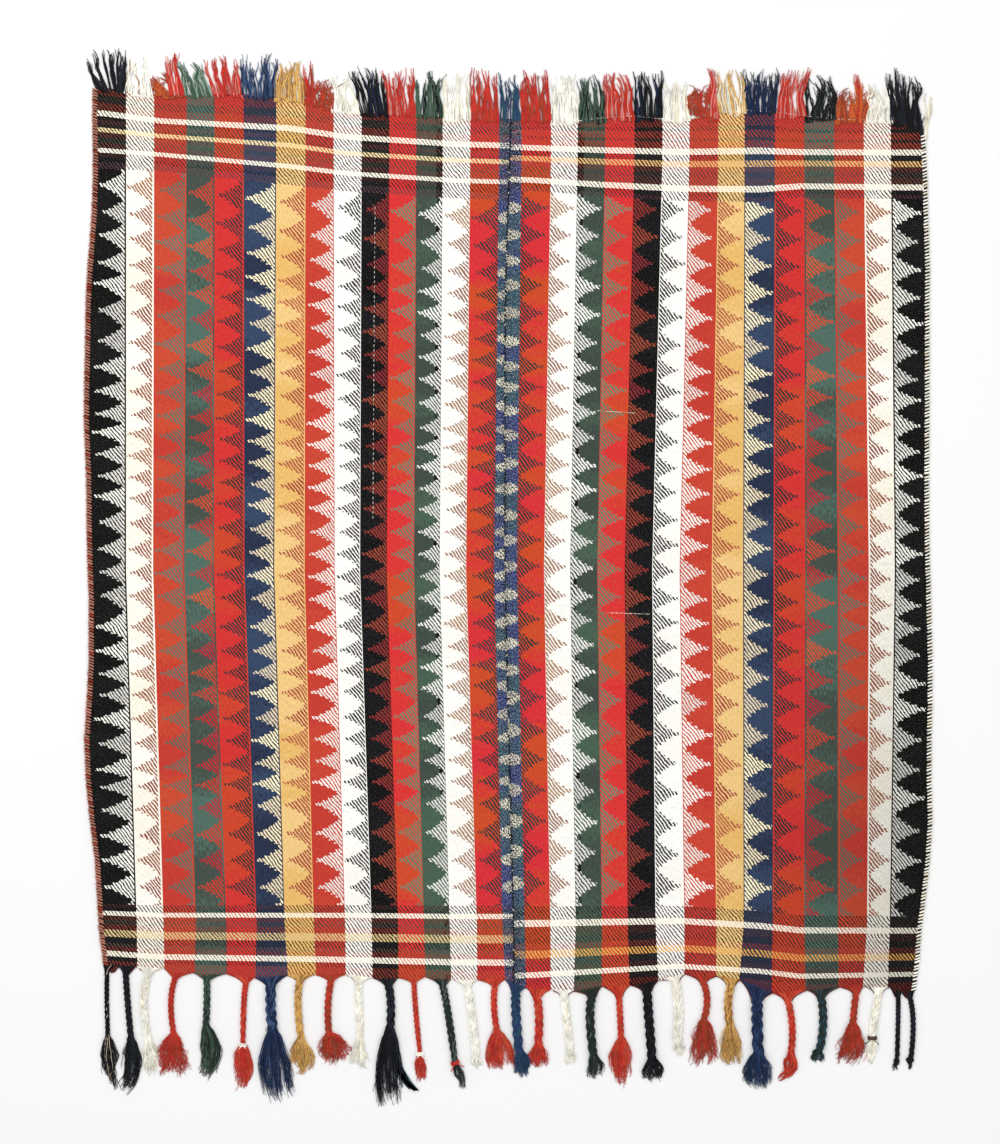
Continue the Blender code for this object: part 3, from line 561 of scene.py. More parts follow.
class Yarns:
    """Gathers yarns as round tubes with their dyes, and joins them into one piece."""

    def __init__(self):
        self.corners = []
        self.faces = []
        self.twists = []
        self.dyes = []
        self.count = 0

    def add(self, paths, thick, dyes, sides=4, wide=1.0, reference=(0.0, 0.0, 1.0)):
        """paths is yarns by points by 3, thick each point's radius, sides an even number, wide the
        sideways stretch of the round, and reference an axis that no yarn runs along."""
        paths = np.asarray(paths, float)
        count, points = paths.shape[:2]
        thick = np.broadcast_to(thick, (count, points))[..., None, None]
        along = np.gradient(paths, axis=1)
        along /= np.linalg.norm(along, axis=-1, keepdims=True) + 1e-12
        side = np.cross(along, np.asarray(reference))
        side /= np.linalg.norm(side, axis=-1, keepdims=True) + 1e-12
        upper = np.cross(side, along)
        turns = np.arange(sides) / sides * math.tau + math.pi / sides
        round_side = np.cos(turns)[None, None, :, None] * side[:, :, None] * wide
        round_up = np.sin(turns)[None, None, :, None] * upper[:, :, None]
        corners = paths[:, :, None] + thick * (round_side + round_up)
        index = np.arange(count * points * sides).reshape(count, points, sides)
        turned = np.roll(index, -1, axis=2)
        quads = np.stack([index[:, :-1], index[:, 1:], turned[:, 1:], turned[:, :-1]], axis=-1)
        spans = np.linalg.norm(np.diff(paths, axis=1), axis=-1)
        lengths = np.concatenate([np.zeros((count, 1)), np.cumsum(spans, axis=1)], axis=1)
        start = np.broadcast_to(lengths[:, :-1, None], quads.shape[:3])
        end = np.broadcast_to(lengths[:, 1:, None], quads.shape[:3])
        turn = np.broadcast_to(np.arange(sides) / sides, quads.shape[:3])
        twist = np.stack([
            np.stack([turn, start], -1),
            np.stack([turn, end], -1),
            np.stack([turn + 1 / sides, end], -1),
            np.stack([turn + 1 / sides, start], -1),
        ], axis=-2)
        caps = []
        for near in range(0, sides - 2, 2):
            picks = [0, near + 1, near + 2, near + 3]
            caps += [index[:, 0][:, picks], index[:, -1][:, picks[::-1]]]
        caps = np.concatenate(caps)
        faces = np.concatenate([quads.reshape(-1, 4), caps])
        flat = np.zeros((len(caps), 4, 2))
        self.twists.append(np.concatenate([twist.reshape(-1, 4, 2), flat]))
        self.faces.append(faces + self.count)
        self.corners.append(corners.reshape(-1, 3))
        self.dyes.append(np.repeat(np.asarray(dyes, float), points * sides, axis=0))
        self.count += count * points * sides

    def join(self, name, material):
        """The yarns as one object, with their dyes and a UV map that follows their twist."""
        piece = mesh_object(name, np.concatenate(self.corners), np.concatenate(self.faces))
        mesh = piece.data
        layer = mesh.uv_layers.new(name="twist")
        layer.data.foreach_set("uv", np.concatenate(self.twists).astype(np.float32).ravel())
        shades = np.concatenate(self.dyes)
        shades = np.concatenate([shades, np.ones((len(shades), 1))], axis=1)
        dye = mesh.color_attributes.new("dye", "FLOAT_COLOR", "POINT")
        dye.data.foreach_set("color", shades.astype(np.float32).ravel())
        mesh.materials.append(material)
        return piece


def dye_mix(chance, count, first, second, share):
    """Dyes for count yarns: the first, with a share of the second, each a little lighter or darker."""
    picks = chance.random(count) < share
    shades = np.where(picks[:, None], linear(DYES[second]), linear(DYES[first]))
    return shades * chance.uniform(0.88, 1.12, (count, 1))


def wander(chance, count, points, reach):
    """Sideways wandering of count yarns, none at the start and more towards the ends."""
    along = np.linspace(0.0, 1.0, points)[None]
    waves = np.zeros((count, points))
    for cycles in (0.6, 1.3, 2.3):
        phase = chance.uniform(0, math.tau, (count, 1))
        waves += chance.normal(0, 1 / cycles, (count, 1)) * np.sin(cycles * math.tau * along + phase)
    return reach * waves * along


class Finish:
    """A material with its shader, to which nodes are added one by one."""

    def __init__(self, name):
        self.material = bpy.data.materials.new(name)
        self.material.use_nodes = True
        self.tree = self.material.node_tree
        self.shader = self.tree.nodes["Principled BSDF"]

    def feed(self, socket, value):
        """Links a node or an output to the socket, or sets any other value on it."""
        if isinstance(value, bpy.types.Node):
            value = next(out for out in value.outputs if out.enabled)
        if isinstance(value, bpy.types.NodeSocket):
            self.tree.links.new(value, socket)
        elif value is not None:
            socket.default_value = value

    def add(self, kind, *feeds, **settings):
        """Adds a node with its settings, and feeds its inputs in order. None leaves one as it is."""
        node = self.tree.nodes.new("ShaderNode" + kind)
        for name, value in settings.items():
            setattr(node, name, value)
        for socket, value in zip([socket for socket in node.inputs if socket.enabled], feeds):
            self.feed(socket, value)
        return node

    def dress(self, colour, gloss, **relief):
        """Gives the shader its colour and gloss, and its relief as the feeds of a bump."""
        for name, value in {"Base Color": colour, **gloss}.items():
            self.feed(self.shader.inputs[name], value)
        if relief:
            bump = self.add("Bump")
            for name, value in relief.items():
                self.feed(bump.inputs[name], value)
            self.feed(self.shader.inputs["Normal"], bump)
        return self.material


def set_stops(ramp, stops):
    """Gives a ramp constant colour stops: each a place from 0 to 1, a linear colour and an alpha."""
    ramp.color_ramp.interpolation = "CONSTANT"
    elements = ramp.color_ramp.elements
    for number, (place, colour, alpha) in enumerate(stops):
        element = elements[number] if number < 2 else elements.new(place)
        element.position = place
        element.color = (*colour, alpha)
    return ramp


def painted_board(colour):
    """Painted board: emulsion rolled on smooth board. Plain, pale and matte, with no shine."""
    gloss = {"Roughness": 0.95, "Specular IOR Level": 0.05}
    return Finish("Painted studio floor").dress((*colour, 1.0), gloss)


def spun_wool(relief):
    """Spun wool yarn: carded wool twisted into yarn and dyed in the hank. Matte and hairy, with a fine
    twist and dye that runs lighter and darker along it. The twist is drawn a little coarser than life."""
    wool = Finish("Spun wool yarn")
    add = wool.add
    dye = add("VertexColor", layer_name="dye")
    twist = add("SeparateXYZ", add("UVMap", uv_map="twist"))
    place = add("TexCoord").outputs["Object"]
    along = add("Math", twist.outputs["Y"], FINENESS["yarn twist"], operation="MULTIPLY")
    turned = add("Math", along, twist.outputs["X"], operation="ADD")
    spun = add("Math", turned, 0.5, operation="PINGPONG")
    hair = add("TexNoise", place, FINENESS["hair"], 3.0)
    runs = add("TexNoise", place, FINENESS["run of dye"], 2.0)
    shade = add("MapRange", runs, 0.3, 0.7, 0.82, 1.16)
    # Painted shade: the furrows of the twist are darkened in the colour
    painted_twist_shade = add("MapRange", spun, 0.0, 0.5, 0.9, 1.04)
    tone = add("Math", shade, painted_twist_shade, operation="MULTIPLY")
    colour = add("Mix", 1.0, dye, tone, data_type="RGBA", blend_type="MULTIPLY")
    height = add("Math", hair, 0.5, spun, operation="MULTIPLY_ADD")
    gloss = {"Roughness": 0.88, "Specular IOR Level": 0.15, "Sheen Weight": 0.05, "Sheen Roughness": 0.5}
    return wool.dress(colour, gloss, Strength=0.5, Distance=relief, Height=height)


def stripe_stops(column):
    """Colour stops of one column of STRIPE_DYES, from the outer selvedge to the seam."""
    return [(number / STRIPE_COUNT, linear(row[column]), 1.0) for number, row in enumerate(STRIPE_DYES)]


def reach_stops(steps, scale):
    """Grey stops for the steps of a tooth, whose reaches are scaled to fit below 1."""
    return [(place, (reach * scale,) * 3, 1.0) for place, reach in steps]


def band_stops(top, bottom):
    """Colour stops of both ends' bands, with an alpha of 0 where the stripes and teeth are."""
    stops = [(place, linear(code), 1.0) for place, code in top]
    stops.append((TOP_END, (0.0, 0.0, 0.0), 0.0))
    stops += [(BOTTOM_START + place, linear(code), 1.0) for place, code in bottom]
    return [((place - BAND_LOW) / BAND_SPAN, colour, alpha) for place, colour, alpha in stops]


def dyed_twill(name, left, weave):
    """Dyed wool twill, woven on a hand loom with a weft of its own for each stripe, dovetailed into its
    neighbours as sawteeth. The eye sees solid stripes, teeth hatched by the twill's ribs, and end bands
    where one weft crosses all stripes. The ribs are drawn wider than life, so that they show."""
    twill = Finish(name)
    add = twill.add
    threads = add("UVMap", uv_map="threads")
    thread = add("SeparateXYZ", threads)
    stripes = add("SeparateXYZ", add("UVMap", uv_map="stripes"))
    bands = add("SeparateXYZ", add("UVMap", uv_map="bands"))
    place, row = stripes.outputs["X"], stripes.outputs["Y"]
    stretch = add("Mapping", threads, None, None, (1.0, 0.25, 1.0))

    # Ribs: a saw along the diagonal, a little unsteady, so that each float is a short dash
    rib = weave.rib_left if left else weave.rib_right
    down = add("Math", thread.outputs["Y"], 1.0 / (rib * weave.rib_slope), operation="MULTIPLY")
    diagonal = add("Math", thread.outputs["X"], -1.0 / rib, down, operation="MULTIPLY_ADD")
    for kind, strength in (("rib sway", 1.4), ("rib break", 0.55)):
        waver = add("TexNoise", threads, FINENESS[kind], 1.0)
        diagonal = add("Math", waver, strength, diagonal, operation="MULTIPLY_ADD")
    ribs = add("Math", diagonal, operation="FRACT")
    rounded = add("Math", ribs, 0.25, operation="PINGPONG")

    # Teeth: a stepped length for each row, reaching outwards from the stripe's inner side
    near = add("Math", row, operation="ROUND")
    off = add("Math", add("Math", row, near, operation="SUBTRACT"), operation="ABSOLUTE")
    off = add("Math", add("Math", off, 2.0, operation="MULTIPLY"), 0.05, operation="SUBTRACT")
    uneven = add("TexNoise", threads, FINENESS["tooth edge"], 1.0)
    uneven = add("Math", uneven, 0.1, off, operation="MULTIPLY_ADD")
    stripe = add("Math", place, operation="FLOOR")
    luck = add("TexWhiteNoise", add("CombineXYZ", stripe, near), noise_dimensions="2D")
    steps = set_stops(add("ValToRGB", uneven), reach_stops(TOOTH_STEPS, 1.0))
    tooth_reach = add("Math", steps, add("MapRange", luck, 0.0, 1.0, 0.86, 1.08), operation="MULTIPLY")
    steps = set_stops(add("ValToRGB", uneven), reach_stops(BLOCK_STEPS, 0.5))
    block_reach = add("Math", steps, 2.0, operation="MULTIPLY")
    central = add("Math", place, STRIPE_COUNT - 1.0, operation="GREATER_THAN")
    reach = add("Mix", central, tooth_reach, block_reach, data_type="RGBA")
    serration = add("Math", add("Math", diagonal, 0.5, operation="ADD"), operation="FRACT")
    across = add("Math", place, operation="FRACT")
    serrated = add("Math", serration, 0.06, across, operation="MULTIPLY_ADD")
    tooth = add("Math", add("Math", reach, serrated, operation="ADD"), 1.045, operation="GREATER_THAN")

    # Dyes: each stripe's own, its second shade over some rows, and the teeth's weft
    spot = add("Math", place, 1.0 / STRIPE_COUNT, operation="MULTIPLY")
    stops = stripe_stops(0)
    stops.insert(math.ceil(BLACK_WARPS), (BLACK_WARPS / STRIPE_COUNT, linear(STRIPE_DYES[0][0]), 1.0))
    batch = add("CombineXYZ", add("Math", stripe, 7.3, operation="MULTIPLY"), row)
    abrash = add("TexNoise", batch, 0.4, 1.0, noise_dimensions="2D")
    mottle = add("Math", add("TexNoise", stretch, FINENESS["mottle"], 1.0), 0.5, operation="SUBTRACT")
    mottled = add("Math", mottle, 0.6, abrash, operation="MULTIPLY_ADD")
    shade = add("MapRange", mottled, 0.44, 0.58, 0.0, 1.0)
    main, second, third = (
        set_stops(add("ValToRGB", spot), each) for each in (stops, stripe_stops(1), stripe_stops(2))
    )
    body = add("Mix", shade, main, second, data_type="RGBA")
    hue = add("MapRange", luck, 0.0, 1.0, 0.485, 0.51)
    value = add("MapRange", add("SeparateColor", luck.outputs["Color"]), 0.0, 1.0, 0.8, 1.15)
    teeth = add("HueSaturation", hue, None, value, None, third)
    tops, lows = (TOP_BANDS_LEFT, BOTTOM_BANDS_LEFT) if left else (TOP_BANDS_RIGHT, BOTTOM_BANDS_RIGHT)
    band_spot = add("MapRange", bands.outputs["X"], BAND_LOW, BAND_LOW + BAND_SPAN, 0.0, 1.0)
    band = set_stops(add("ValToRGB", band_spot), band_stops(tops, lows))
    banded = band.outputs["Alpha"]
    weft = add("Mix", tooth, body, teeth, data_type="RGBA")
    weft = add("Mix", banded, weft, band, data_type="RGBA")

    # The pale wefts of the end bands are thick and cover most of the warp, the dark ones little of it
    cover = add("Math", add("RGBToBW", band), banded, operation="MULTIPLY")
    block = add("Math", central, tooth, operation="MULTIPLY")
    cover = add("Math", block, 0.5, cover, operation="MULTIPLY_ADD")
    striped = add("Math", 1.0, banded, operation="SUBTRACT")
    cover = add("Math", striped, 0.58, cover, operation="MULTIPLY_ADD")
    cover = add("Math", cover, 0.38, 0.35, operation="MULTIPLY_ADD")
    cloth = add("Mix", add("Math", ribs, cover, operation="GREATER_THAN"), weft, body, data_type="RGBA")

    # Beside the seam some warps are nearly black and some pale
    seamward = add("MapRange", place, STRIPE_COUNT - 0.8, STRIPE_COUNT, 0.0, 0.06)
    seamward = add("Math", seamward, central, operation="MULTIPLY")
    flecks = add("Mapping", threads, None, None, (1.0, 0.6, 1.0))
    dark = add("Math", add("TexNoise", flecks, FINENESS["dark warp"], 1.0), seamward, operation="ADD")
    dark = add("Math", dark, 0.55, operation="GREATER_THAN")
    dark = add("Math", dark, central, operation="MULTIPLY")
    cloth = add("Mix", dark, cloth, (*linear("15161f"), 1.0), data_type="RGBA")
    pale = add("Math", add("TexNoise", flecks, FINENESS["pale warp"], 1.0), 0.4, operation="LESS_THAN")
    pale = add("Math", add("Math", pale, central, operation="MULTIPLY"), 0.55, operation="MULTIPLY")
    cloth = add("Mix", pale, cloth, (*linear("a9b4c4"), 1.0), data_type="RGBA")

    # Fibres: single threads lighter and darker, painted shade in the furrows between the ribs, and pale lint
    speck = add("TexNoise", threads, FINENESS["fibre"], 2.0)
    tone = add("Math", add("TexNoise", stretch, FINENESS["thread"], 1.0), speck, operation="ADD")
    tone = add("MapRange", tone, 0.7, 1.3, 0.8, 1.18)
    # Painted shade: the furrows between the ribs are darkened in the colour
    tone = add("Math", tone, add("MapRange", rounded, 0.0, 0.25, 0.9, 1.04), operation="MULTIPLY")
    if not left:
        # The outer stripes of the right width darken towards the plaited end: partly a deeper batch of dye,
        # partly painted shade where the light falls off there
        outward = add("MapRange", place, 7.0, 1.0, 0.0, 1.0)
        downward = add("MapRange", thread.outputs["Y"], 0.8, 1.5, 0.0, 1.0)
        deeper_dye_and_painted_shade = add("Math", outward, downward, operation="MULTIPLY")
        # Painted shade and deeper dye together: the colour is multiplied down to 0.66 at the lower outer
        # corner
        tone = add("Math", tone, add("MapRange", deeper_dye_and_painted_shade, 0.0, 1.0, 1.0, 0.66), operation="MULTIPLY")
    colour = add("Mix", 1.0, cloth, tone, data_type="RGBA", blend_type="MULTIPLY")
    lint = add("MapRange", add("TexNoise", threads, FINENESS["lint"], 1.0), 0.6, 0.78, 0.0, 0.2)
    colour = add("Mix", lint, colour, (*linear("b9b09c"), 1.0), data_type="RGBA", blend_type="LIGHTEN")
    height = add("Math", speck, 0.25, rounded, operation="MULTIPLY_ADD")
    gloss = {"Roughness": 0.92, "Specular IOR Level": 0.12, "Sheen Weight": 0.02, "Sheen Roughness": 0.5}
    return twill.dress(colour, gloss, Strength=0.6, Distance=weave.relief, Height=height)


def settle(piece, slot, *nodes):
    """The piece rides with the rug, and stands for its solids if it has any. Its slot is not used."""
    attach(piece, "root")
    if nodes:
        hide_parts(*nodes)


def lay(context, yarns, name, slot, *nodes):
    """Joins the yarns as one piece of spun wool, and settles it. All yarns share one material."""
    wool = bpy.data.materials.get("Spun wool yarn") or spun_wool(context.scene.rug_yarn.relief)
    settle(yarns.join(name, wool), slot, *nodes)


def clear_selection():
    """Deselects everything, so that an operator acts on its own new object alone."""
    for piece in list(bpy.context.selected_objects):
        piece.select_set(False)


def weave_width(context, left):
    """One woven width: a grid whose columns run along the stripes, laid out, and given its underside."""
    weave = context.scene.rug_weave
    hand = HANDS[left]
    columns, rows = STRIPE_COUNT * weave.columns, weave.rows
    clear_selection()
    bpy.ops.mesh.primitive_grid_add(x_subdivisions=columns, y_subdivisions=rows, size=2.0)
    piece = context.active_object
    piece.name = "woven_width_" + hand
    mesh = piece.data
    spots = mesh_corners(mesh)
    share = (spots[:, 0] + 1) / 2
    place = STRIPE_COUNT * (share if left else 1 - share)
    fall = (1 - spots[:, 1]) / 2
    top, low = top_y(left, place), np.interp(place, *scallop(left))
    y = top + fall * (low - top)
    x = stripe_x(left, place, y)
    laid = placed(x, y, 0.0)
    laid[:, 2] = CLOTH_THICK + unevenness(laid[:, 0], laid[:, 1])
    mesh.vertices.foreach_set("co", laid.ravel())
    corners = np.empty(len(mesh.loops), np.int32)
    mesh.loops.foreach_get("vertex_index", corners)
    layers = {
        "stripes": (place, rows_of_teeth(left, x, y)),
        "bands": (band_place(left, x, y), fall),
        "threads": (x * UNIT, y * UNIT),
    }
    for layer in list(mesh.uv_layers):
        mesh.uv_layers.remove(layer)
    for name, values in layers.items():
        layer = mesh.uv_layers.new(name=name)
        layer.data.foreach_set("uv", np.stack(values, axis=1)[corners].astype(np.float32).ravel())
    under = piece.modifiers.new("underside", "SOLIDIFY")
    under.thickness = CLOTH_THICK
    under.offset = -1.0
    bpy.ops.object.modifier_apply(modifier=under.name)
    both = mesh_corners(mesh)
    both[len(spots) :, :2] = both[: len(spots), :2]
    both[len(spots) :, 2] = UNDERSIDE_LIFT
    mesh.vertices.foreach_set("co", both.ravel())
    mesh.update()
    mesh.shade_smooth()
    mesh.materials.append(dyed_twill("Dyed wool twill, %s width" % hand, left, weave))
    settle(piece, "cloth_" + hand, "panel_" + hand)


def mesh_corners(mesh):
    """The mesh's corners, as an array of points."""
    corners = np.empty(len(mesh.vertices) * 3)
    mesh.vertices.foreach_get("co", corners)
    return corners.reshape(-1, 3)


def lock_paths(chance, guides, each, spread, reaches, curl):
    """Yarns along each lock's guide, in plan units: spread is how far they part from it at each point,
    reaches how much of the guide the shortest and longest of them follow, and curl from 0 to 1."""
    locks, points = guides.shape[:2]
    count = locks * each
    share = np.linspace(0.0, 1.0, points)
    spot = share[None] * chance.uniform(*reaches, (count, 1)) * (points - 1)
    low = np.clip(np.floor(spot).astype(int), 0, points - 2)
    part = (spot - low)[..., None]
    own = np.repeat(guides, each, axis=0)
    before = np.take_along_axis(own, low[..., None], 1)
    after = np.take_along_axis(own, low[..., None] + 1, 1)
    paths = before + part * (after - before)
    paths[..., 0] += chance.uniform(-1, 1, (count, 1)) * np.asarray(spread)[None]
    paths[..., 0] += wander(chance, count, points, 0.5 + 1.6 * curl)
    length = np.linalg.norm(own[:, -1] - own[:, 0], axis=1)[:, None]
    turn, radius = FRINGE_CURL
    phase = chance.uniform(0, math.tau, (count, 1)) + share[None] * length / turn * math.tau
    tight = curl**2 * np.minimum(share * 3, 1)[None]
    paths[..., 0] += radius * tight * np.sin(phase)
    paths[..., 1] += radius * tight * np.cos(phase)
    return paths


def lay_fringe(context, left):
    """Cut warp ends in locks over each stripe, splayed and a little curled, over the cloth's edge."""
    yarn = context.scene.rug_yarn
    chance = np.random.default_rng(SEED + left)
    made = Yarns()
    points = 12
    share = np.linspace(0.0, 1.0, points)
    rows = list(zip(MARK_PLACES, MARK_PLACES[1:], fringe_rows(left)))
    rows += [lock[1:] for lock in TALL_LOCKS if lock[0] == left]
    for start, end, (dye, root, tip, first, last, count, curl, other, other_share) in rows:
        locks = max(2, round((last - first) * UNIT / yarn.lock_apart))
        each = math.ceil(count * yarn.fringe_fill / locks)
        places = start + (np.arange(locks) + 0.5) / locks * (end - start)
        root_y = top_y(left, places) + chance.uniform(1.0, 5.0, locks)
        root_x = np.sort(stripe_x(left, places, root_y))
        goal_x = np.linspace(first + 1.5, last - 1.5, locks) + chance.normal(0, 1.2, locks)
        goal_y = tip - 2.0 + np.abs(chance.normal(0, 4.0, locks))
        roots, goals = np.stack([root_x, root_y], axis=1), np.stack([goal_x, goal_y], axis=1)
        guides = between(roots[:, None], goals[:, None], share[:, None])
        guides[..., 0] += wander(chance, locks, points, 1.3 + 1.5 * curl)
        gap = (root_x[-1] - root_x[0]) / max(locks - 1, 1)
        spread = np.interp(share, (0.0, 0.22, 0.6, 1.0), (0.62 * gap, 0.6 * gap, 1.5, 2.3))
        paths = lock_paths(chance, guides, each, spread, (0.62, 1.0), curl)
        total = len(paths)
        rise = np.interp(share, (0.0, 0.1, 0.28, 1.0), (CLOTH_THICK + 0.0002, CLOTH_THICK, 0.0013, 0.0011))
        lift = rise[None] + chance.uniform(0, 0.0008, (total, 1)) * np.minimum(share * 4, 1)[None]
        thin = np.interp(share, (0.0, 0.6, 1.0), (1.1, 1.0, 0.5))[None]
        thin = thin * chance.uniform(0.85, 1.15, (total, 1))
        dyes = dye_mix(chance, total, dye, other, other_share)
        made.add(lifted(paths, lift), thin * yarn.fringe_radius, dyes)
    lay(context, made, "fringe_yarns_" + HANDS[left], "fringe_wool", "fringe_" + HANDS[left])


def plait_strands(yarn, number):
    """The yarns of a plait's three strands, from its neck to its end. The strands cross to and fro and
    take turns on top, and the yarns of each lie round its middle."""
    _, _, neck, middle, end, wide_mm = PLAITS[number - 1][:6]
    wide, tall = wide_mm / 1000 / UNIT, wide_mm / 1000 * PLAIT_FLATNESS
    length = math.dist(neck, end) * UNIT
    steps = max(16, round(length / PLAIT_STEP))
    share = np.linspace(0.0, 1.0, steps)
    centre = bend(neck, middle, end, share)
    run = np.gradient(centre, axis=0)
    run /= np.linalg.norm(run, axis=1, keepdims=True)
    side = np.stack([run[:, 1], -run[:, 0]], axis=1)
    strand = np.repeat(np.arange(3), yarn.strand_yarns)
    member = np.tile(np.arange(yarn.strand_yarns), 3)
    period = max(PITCH_LEAST, wide_mm / 1000 * yarn.plait_pitch)
    turn = math.tau * (share * length / period)[None] + math.tau * strand[:, None] / 3
    own = math.tau * member[:, None] / yarn.strand_yarns + 2.0 * share[None] * length / period
    narrow = np.interp(share, (0.0, 0.75, 1.0), (1.0, 1.0, TIE_DRAW_IN if number in TIES else 1.0))
    weave = np.arcsin(STRAND_STRAIGHT * np.sin(turn)) / math.asin(STRAND_STRAIGHT)
    out = (STRAND_SWING * weave + STRAND_THICK * np.cos(own)) * wide * narrow
    lift = tall * (0.5 - STRAND_RISE * np.sin(2 * turn) + STRAND_TALL * np.sin(own))
    return lifted(centre[None] + side[None] * out[..., None], lift)


def plait_warps(context, number):
    """One bundle of warps, gathered, plaited in three strands and let go as a tassel."""
    yarn = context.scene.rug_yarn
    chance = np.random.default_rng(SEED * 100 + number)
    dye, right_mark, _, _, end, wide_mm, tip, tassel_mm, bow, curl, other, other_share = PLAITS[number - 1]
    left_mark = PLAITS[number - 2][1] if number > 1 else LOWER_LEFT
    wide, tall = wide_mm / 1000 / UNIT, wide_mm / 1000 * PLAIT_FLATNESS
    plaited = plait_strands(yarn, number)
    count, steps = plaited.shape[:2]

    # The gathered root, from the cloth's edge to the neck
    neck_yarns = plaited[:, 0]
    order = np.argsort(np.argsort(neck_yarns[:, 0]))
    share = np.linspace(0.0, 1.0, FAN_ROWS + 1)[:-1]
    edge = between(left_mark, right_mark, ((order + 0.5) / count)[:, None])
    edge[:, 1] -= 1.0
    roots = lifted(edge, 0.0015)
    drawn = 1 - (1 - share) ** FAN_DRAW_IN
    fan = between(roots[:, None], neck_yarns[:, None], np.stack([drawn, share, share], axis=1))

    # The tassel, from the plait's end to its tip: the plait's own yarns, and more among them
    thick = wide_mm / 1000 * STRAND_YARN
    thin = min(thick, yarn.tassel_radius)
    tassel = (end, tip, tassel_mm, bow, curl, POINTED.get(number, 1.0))
    made = Yarns()
    whole = np.concatenate([fan, plaited, tassel_paths(chance, tassel, plaited[:, -1], thin)], axis=1)
    radius = np.concatenate([
        np.linspace(thin, thick, FAN_ROWS), np.full(steps, thick), np.linspace(thick, thin, 3),
        np.linspace(thin, thin * 0.6, TASSEL_POINTS - 3),
    ])
    made.add(whole, radius[None], dye_mix(chance, count, dye, other, other_share))
    extra = round(yarn.tassel_fill * tassel_mm * (1 - 0.45 * curl))
    jitter = chance.normal(0, 1, (extra, 2)) * wide * 0.16
    heights = tall * chance.uniform(0.2, 0.85, extra)
    begin = placed(end[0] + jitter[:, 0], end[1] + jitter[:, 1] - 1.0, heights)
    more = np.concatenate([begin[:, None], tassel_paths(chance, tassel, begin, thin)], axis=1)
    radius = np.linspace(thin, thin * 0.55, TASSEL_POINTS + 1)[None]
    made.add(more, radius, dye_mix(chance, extra, dye, other, other_share))
    thrower, count, start, bent, lock_tip = SIDE_LOCK
    if number == thrower:
        share = np.linspace(0, 1, TASSEL_POINTS)
        guide = bend(np.add(end, start), np.add(end, bent), lock_tip, share)
        spread = np.interp(share, (0, 0.5, 1), (3.2, 3.6, 2.8))
        paths = lock_paths(chance, guide[None], count, spread, (0.85, 1.0), 0.1)
        made.add(lifted(paths, 0.002), thin, dye_mix(chance, count, dye, "teal", 0.35))
    lay(context, made, "plaited_warps_%02d" % number, "plait_" + dye, "plait_%02d" % number)


def tassel_paths(chance, tassel, starts, thin):
    """Tassel yarns from their starts at the plait's end, in locks that part and fall towards its tip.
    tassel is its end, tip, width in mm, bow, curl, and how wide it still is at its tip."""
    end, tip, wide_mm, bow, curl, point = tassel
    end, way = np.array(end, float), np.array(tip, float) - np.array(end, float)
    length = np.linalg.norm(way)
    side = np.array([way[1], -way[0]]) / length
    count = len(starts)
    ease = np.linspace(0.0, 1.0, TASSEL_POINTS + 1)[1:]
    locks = max(3, round(wide_mm / 5))
    rank = np.argsort(np.argsort(starts[:, 0] + chance.normal(0, 0.0006, count)))
    lock = rank * locks // count
    slots = np.linspace(-0.9, 0.9, locks) + chance.normal(0, 0.11, locks)
    profile = (0.3, 0.6, 0.95, 0.5 + 0.5 * point, point)
    spread = np.interp(ease, (0.0, 0.25, 0.55, 0.8, 1.0), profile) * wide_mm / 2000 / UNIT
    falls = (1.0 - (0.1 + 0.22 * (1 - point)) * slots**2 + chance.normal(0, 0.09, locks)).clip(0.6, 1.06)
    sway = wander(chance, locks, TASSEL_POINTS, 0.8 + 1.2 * curl)
    reach = (falls[lock] * chance.uniform(0.78, 1.04, count))[:, None] * ease[None]
    own = chance.uniform(-1, 1, (count, 1)) * np.interp(ease, (0.0, 0.5, 1.0), (0.5, 0.28, 0.2))[None]
    offset = (slots[lock][:, None] + own) * spread[None] + sway[lock] + 4 * bow * (reach * (1 - reach))
    offset += wander(chance, count, TASSEL_POINTS, 0.35 + 1.9 * curl)
    turn, radius = TASSEL_CURL
    phase = chance.uniform(0, math.tau, (count, 1)) + reach * length / turn * math.tau
    tight = radius * curl**2 * np.minimum(ease * 3, 1)[None]
    offset += tight * np.sin(phase)
    along = reach + tight * np.cos(phase) / length
    fall = np.interp(ease, (0.0, 0.4, 1.0), (1.0, 0.8, 0.25))[None]
    lift = np.maximum(starts[:, 2:3] * fall, thin * 1.05) + chance.uniform(0, 0.0012, (count, 1)) * fall
    return lifted(end + way * along[..., None] + side * offset[..., None], lift)


